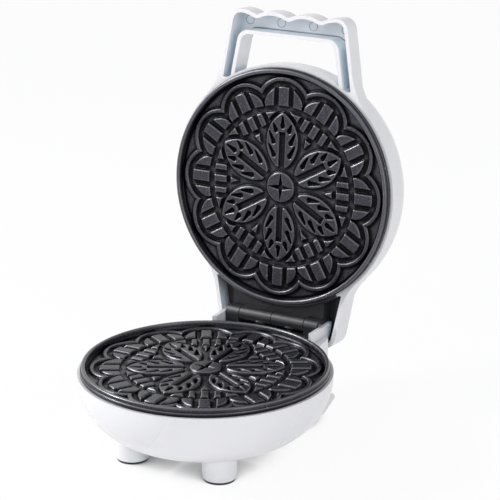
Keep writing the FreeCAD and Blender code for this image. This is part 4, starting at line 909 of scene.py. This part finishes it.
floor_corners = [
    (-FLOOR_SPAN, -FLOOR_SPAN, 0),
    (FLOOR_SPAN, -FLOOR_SPAN, 0),
    (FLOOR_SPAN, FLOOR_SPAN, 0),
    (-FLOOR_SPAN, FLOOR_SPAN, 0),
]
floor_mesh = bpy.data.meshes.new("floor")
floor_mesh.from_pydata(floor_corners, [], [(0, 1, 2, 3)])
floor_mesh.materials.append(floor_material("floor"))
floor = bpy.data.objects.new("floor", floor_mesh)
bpy.context.collection.objects.link(floor)
floor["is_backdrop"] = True


# Surroundings: plain soft light on the object, and white behind it
SKY_LIGHT = (0.96, 0.965, 1.0)
SKY_LIGHT_STRENGTH = 0.60
SKY_SEEN = (1.0, 1.0, 1.0)
SKY_SEEN_STRENGTH = 1.0


def background(tree, color, strength):
    item = tree.nodes.new("ShaderNodeBackground")
    item.inputs["Color"].default_value = (*color, 1.0)
    item.inputs["Strength"].default_value = strength
    return item.outputs["Background"]


world = bpy.context.scene.world or bpy.data.worlds.new("studio")
bpy.context.scene.world = world
world.use_nodes = True
sky = world.node_tree
sky.nodes.clear()
sky_out = sky.nodes.new("ShaderNodeOutputWorld")
sky_light = background(sky, SKY_LIGHT, SKY_LIGHT_STRENGTH)
sky_seen = background(sky, SKY_SEEN, SKY_SEEN_STRENGTH)
mixed(sky, seen_rays(sky), sky_light, sky_seen, sky_out)


# Lamps
OBJECT_MIDDLE = (0.0, 0.0, 0.1)
LID_MIDDLE = (0.0, 0.05, 0.13)


def softbox(name, place, target, width, height, power):
    data = bpy.data.lights.new(name, "AREA")
    data.shape = "RECTANGLE"
    data.size = width
    data.size_y = height
    data.energy = power
    item = bpy.data.objects.new(name, data)
    bpy.context.collection.objects.link(item)
    item.location = place
    item.rotation_euler = (Vector(target) - Vector(place)).to_track_quat("-Z", "Y").to_euler()
    return item


softbox("key", (-0.85, -0.42, 0.62), LID_MIDDLE, width=0.22, height=0.22, power=7.0)
softbox("front", (-0.3, -1.6, 0.7), OBJECT_MIDDLE, width=0.9, height=0.9, power=2.7)
softbox("side", (1.15, -0.55, 0.5), OBJECT_MIDDLE, width=0.5, height=0.9, power=3.9)
glint = softbox("glint", (-0.85, -0.28, 0.78), LID_MIDDLE, width=0.9, height=0.7, power=19.0)
glint.visible_diffuse = False


# Camera
SENSOR_WIDTH = 36.0
FOCAL_LENGTH = 145.64
FARTHEST_SEEN = 50.0
VIEW_RIGHT = Vector((0.87053, 0.49212, 0.0))
VIEW_BACK = Vector((0.46838, -0.82853, 0.30686))
VIEW_UP = VIEW_BACK.cross(VIEW_RIGHT)
VIEW_PLACE = Vector((0.54071, -0.93231, 0.45763))

camera_data = bpy.data.cameras.new("camera")
camera_data.sensor_width = SENSOR_WIDTH
camera_data.lens = FOCAL_LENGTH
camera_data.clip_end = FARTHEST_SEEN
camera = bpy.data.objects.new("camera", camera_data)
bpy.context.collection.objects.link(camera)
camera.matrix_world = Matrix((
    (VIEW_RIGHT.x, VIEW_UP.x, VIEW_BACK.x, VIEW_PLACE.x),
    (VIEW_RIGHT.y, VIEW_UP.y, VIEW_BACK.y, VIEW_PLACE.y),
    (VIEW_RIGHT.z, VIEW_UP.z, VIEW_BACK.z, VIEW_PLACE.z),
    (0.0, 0.0, 0.0, 1.0),
))
bpy.context.scene.camera = camera
bpy.context.scene.view_settings.view_transform = "Standard"

low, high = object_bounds()
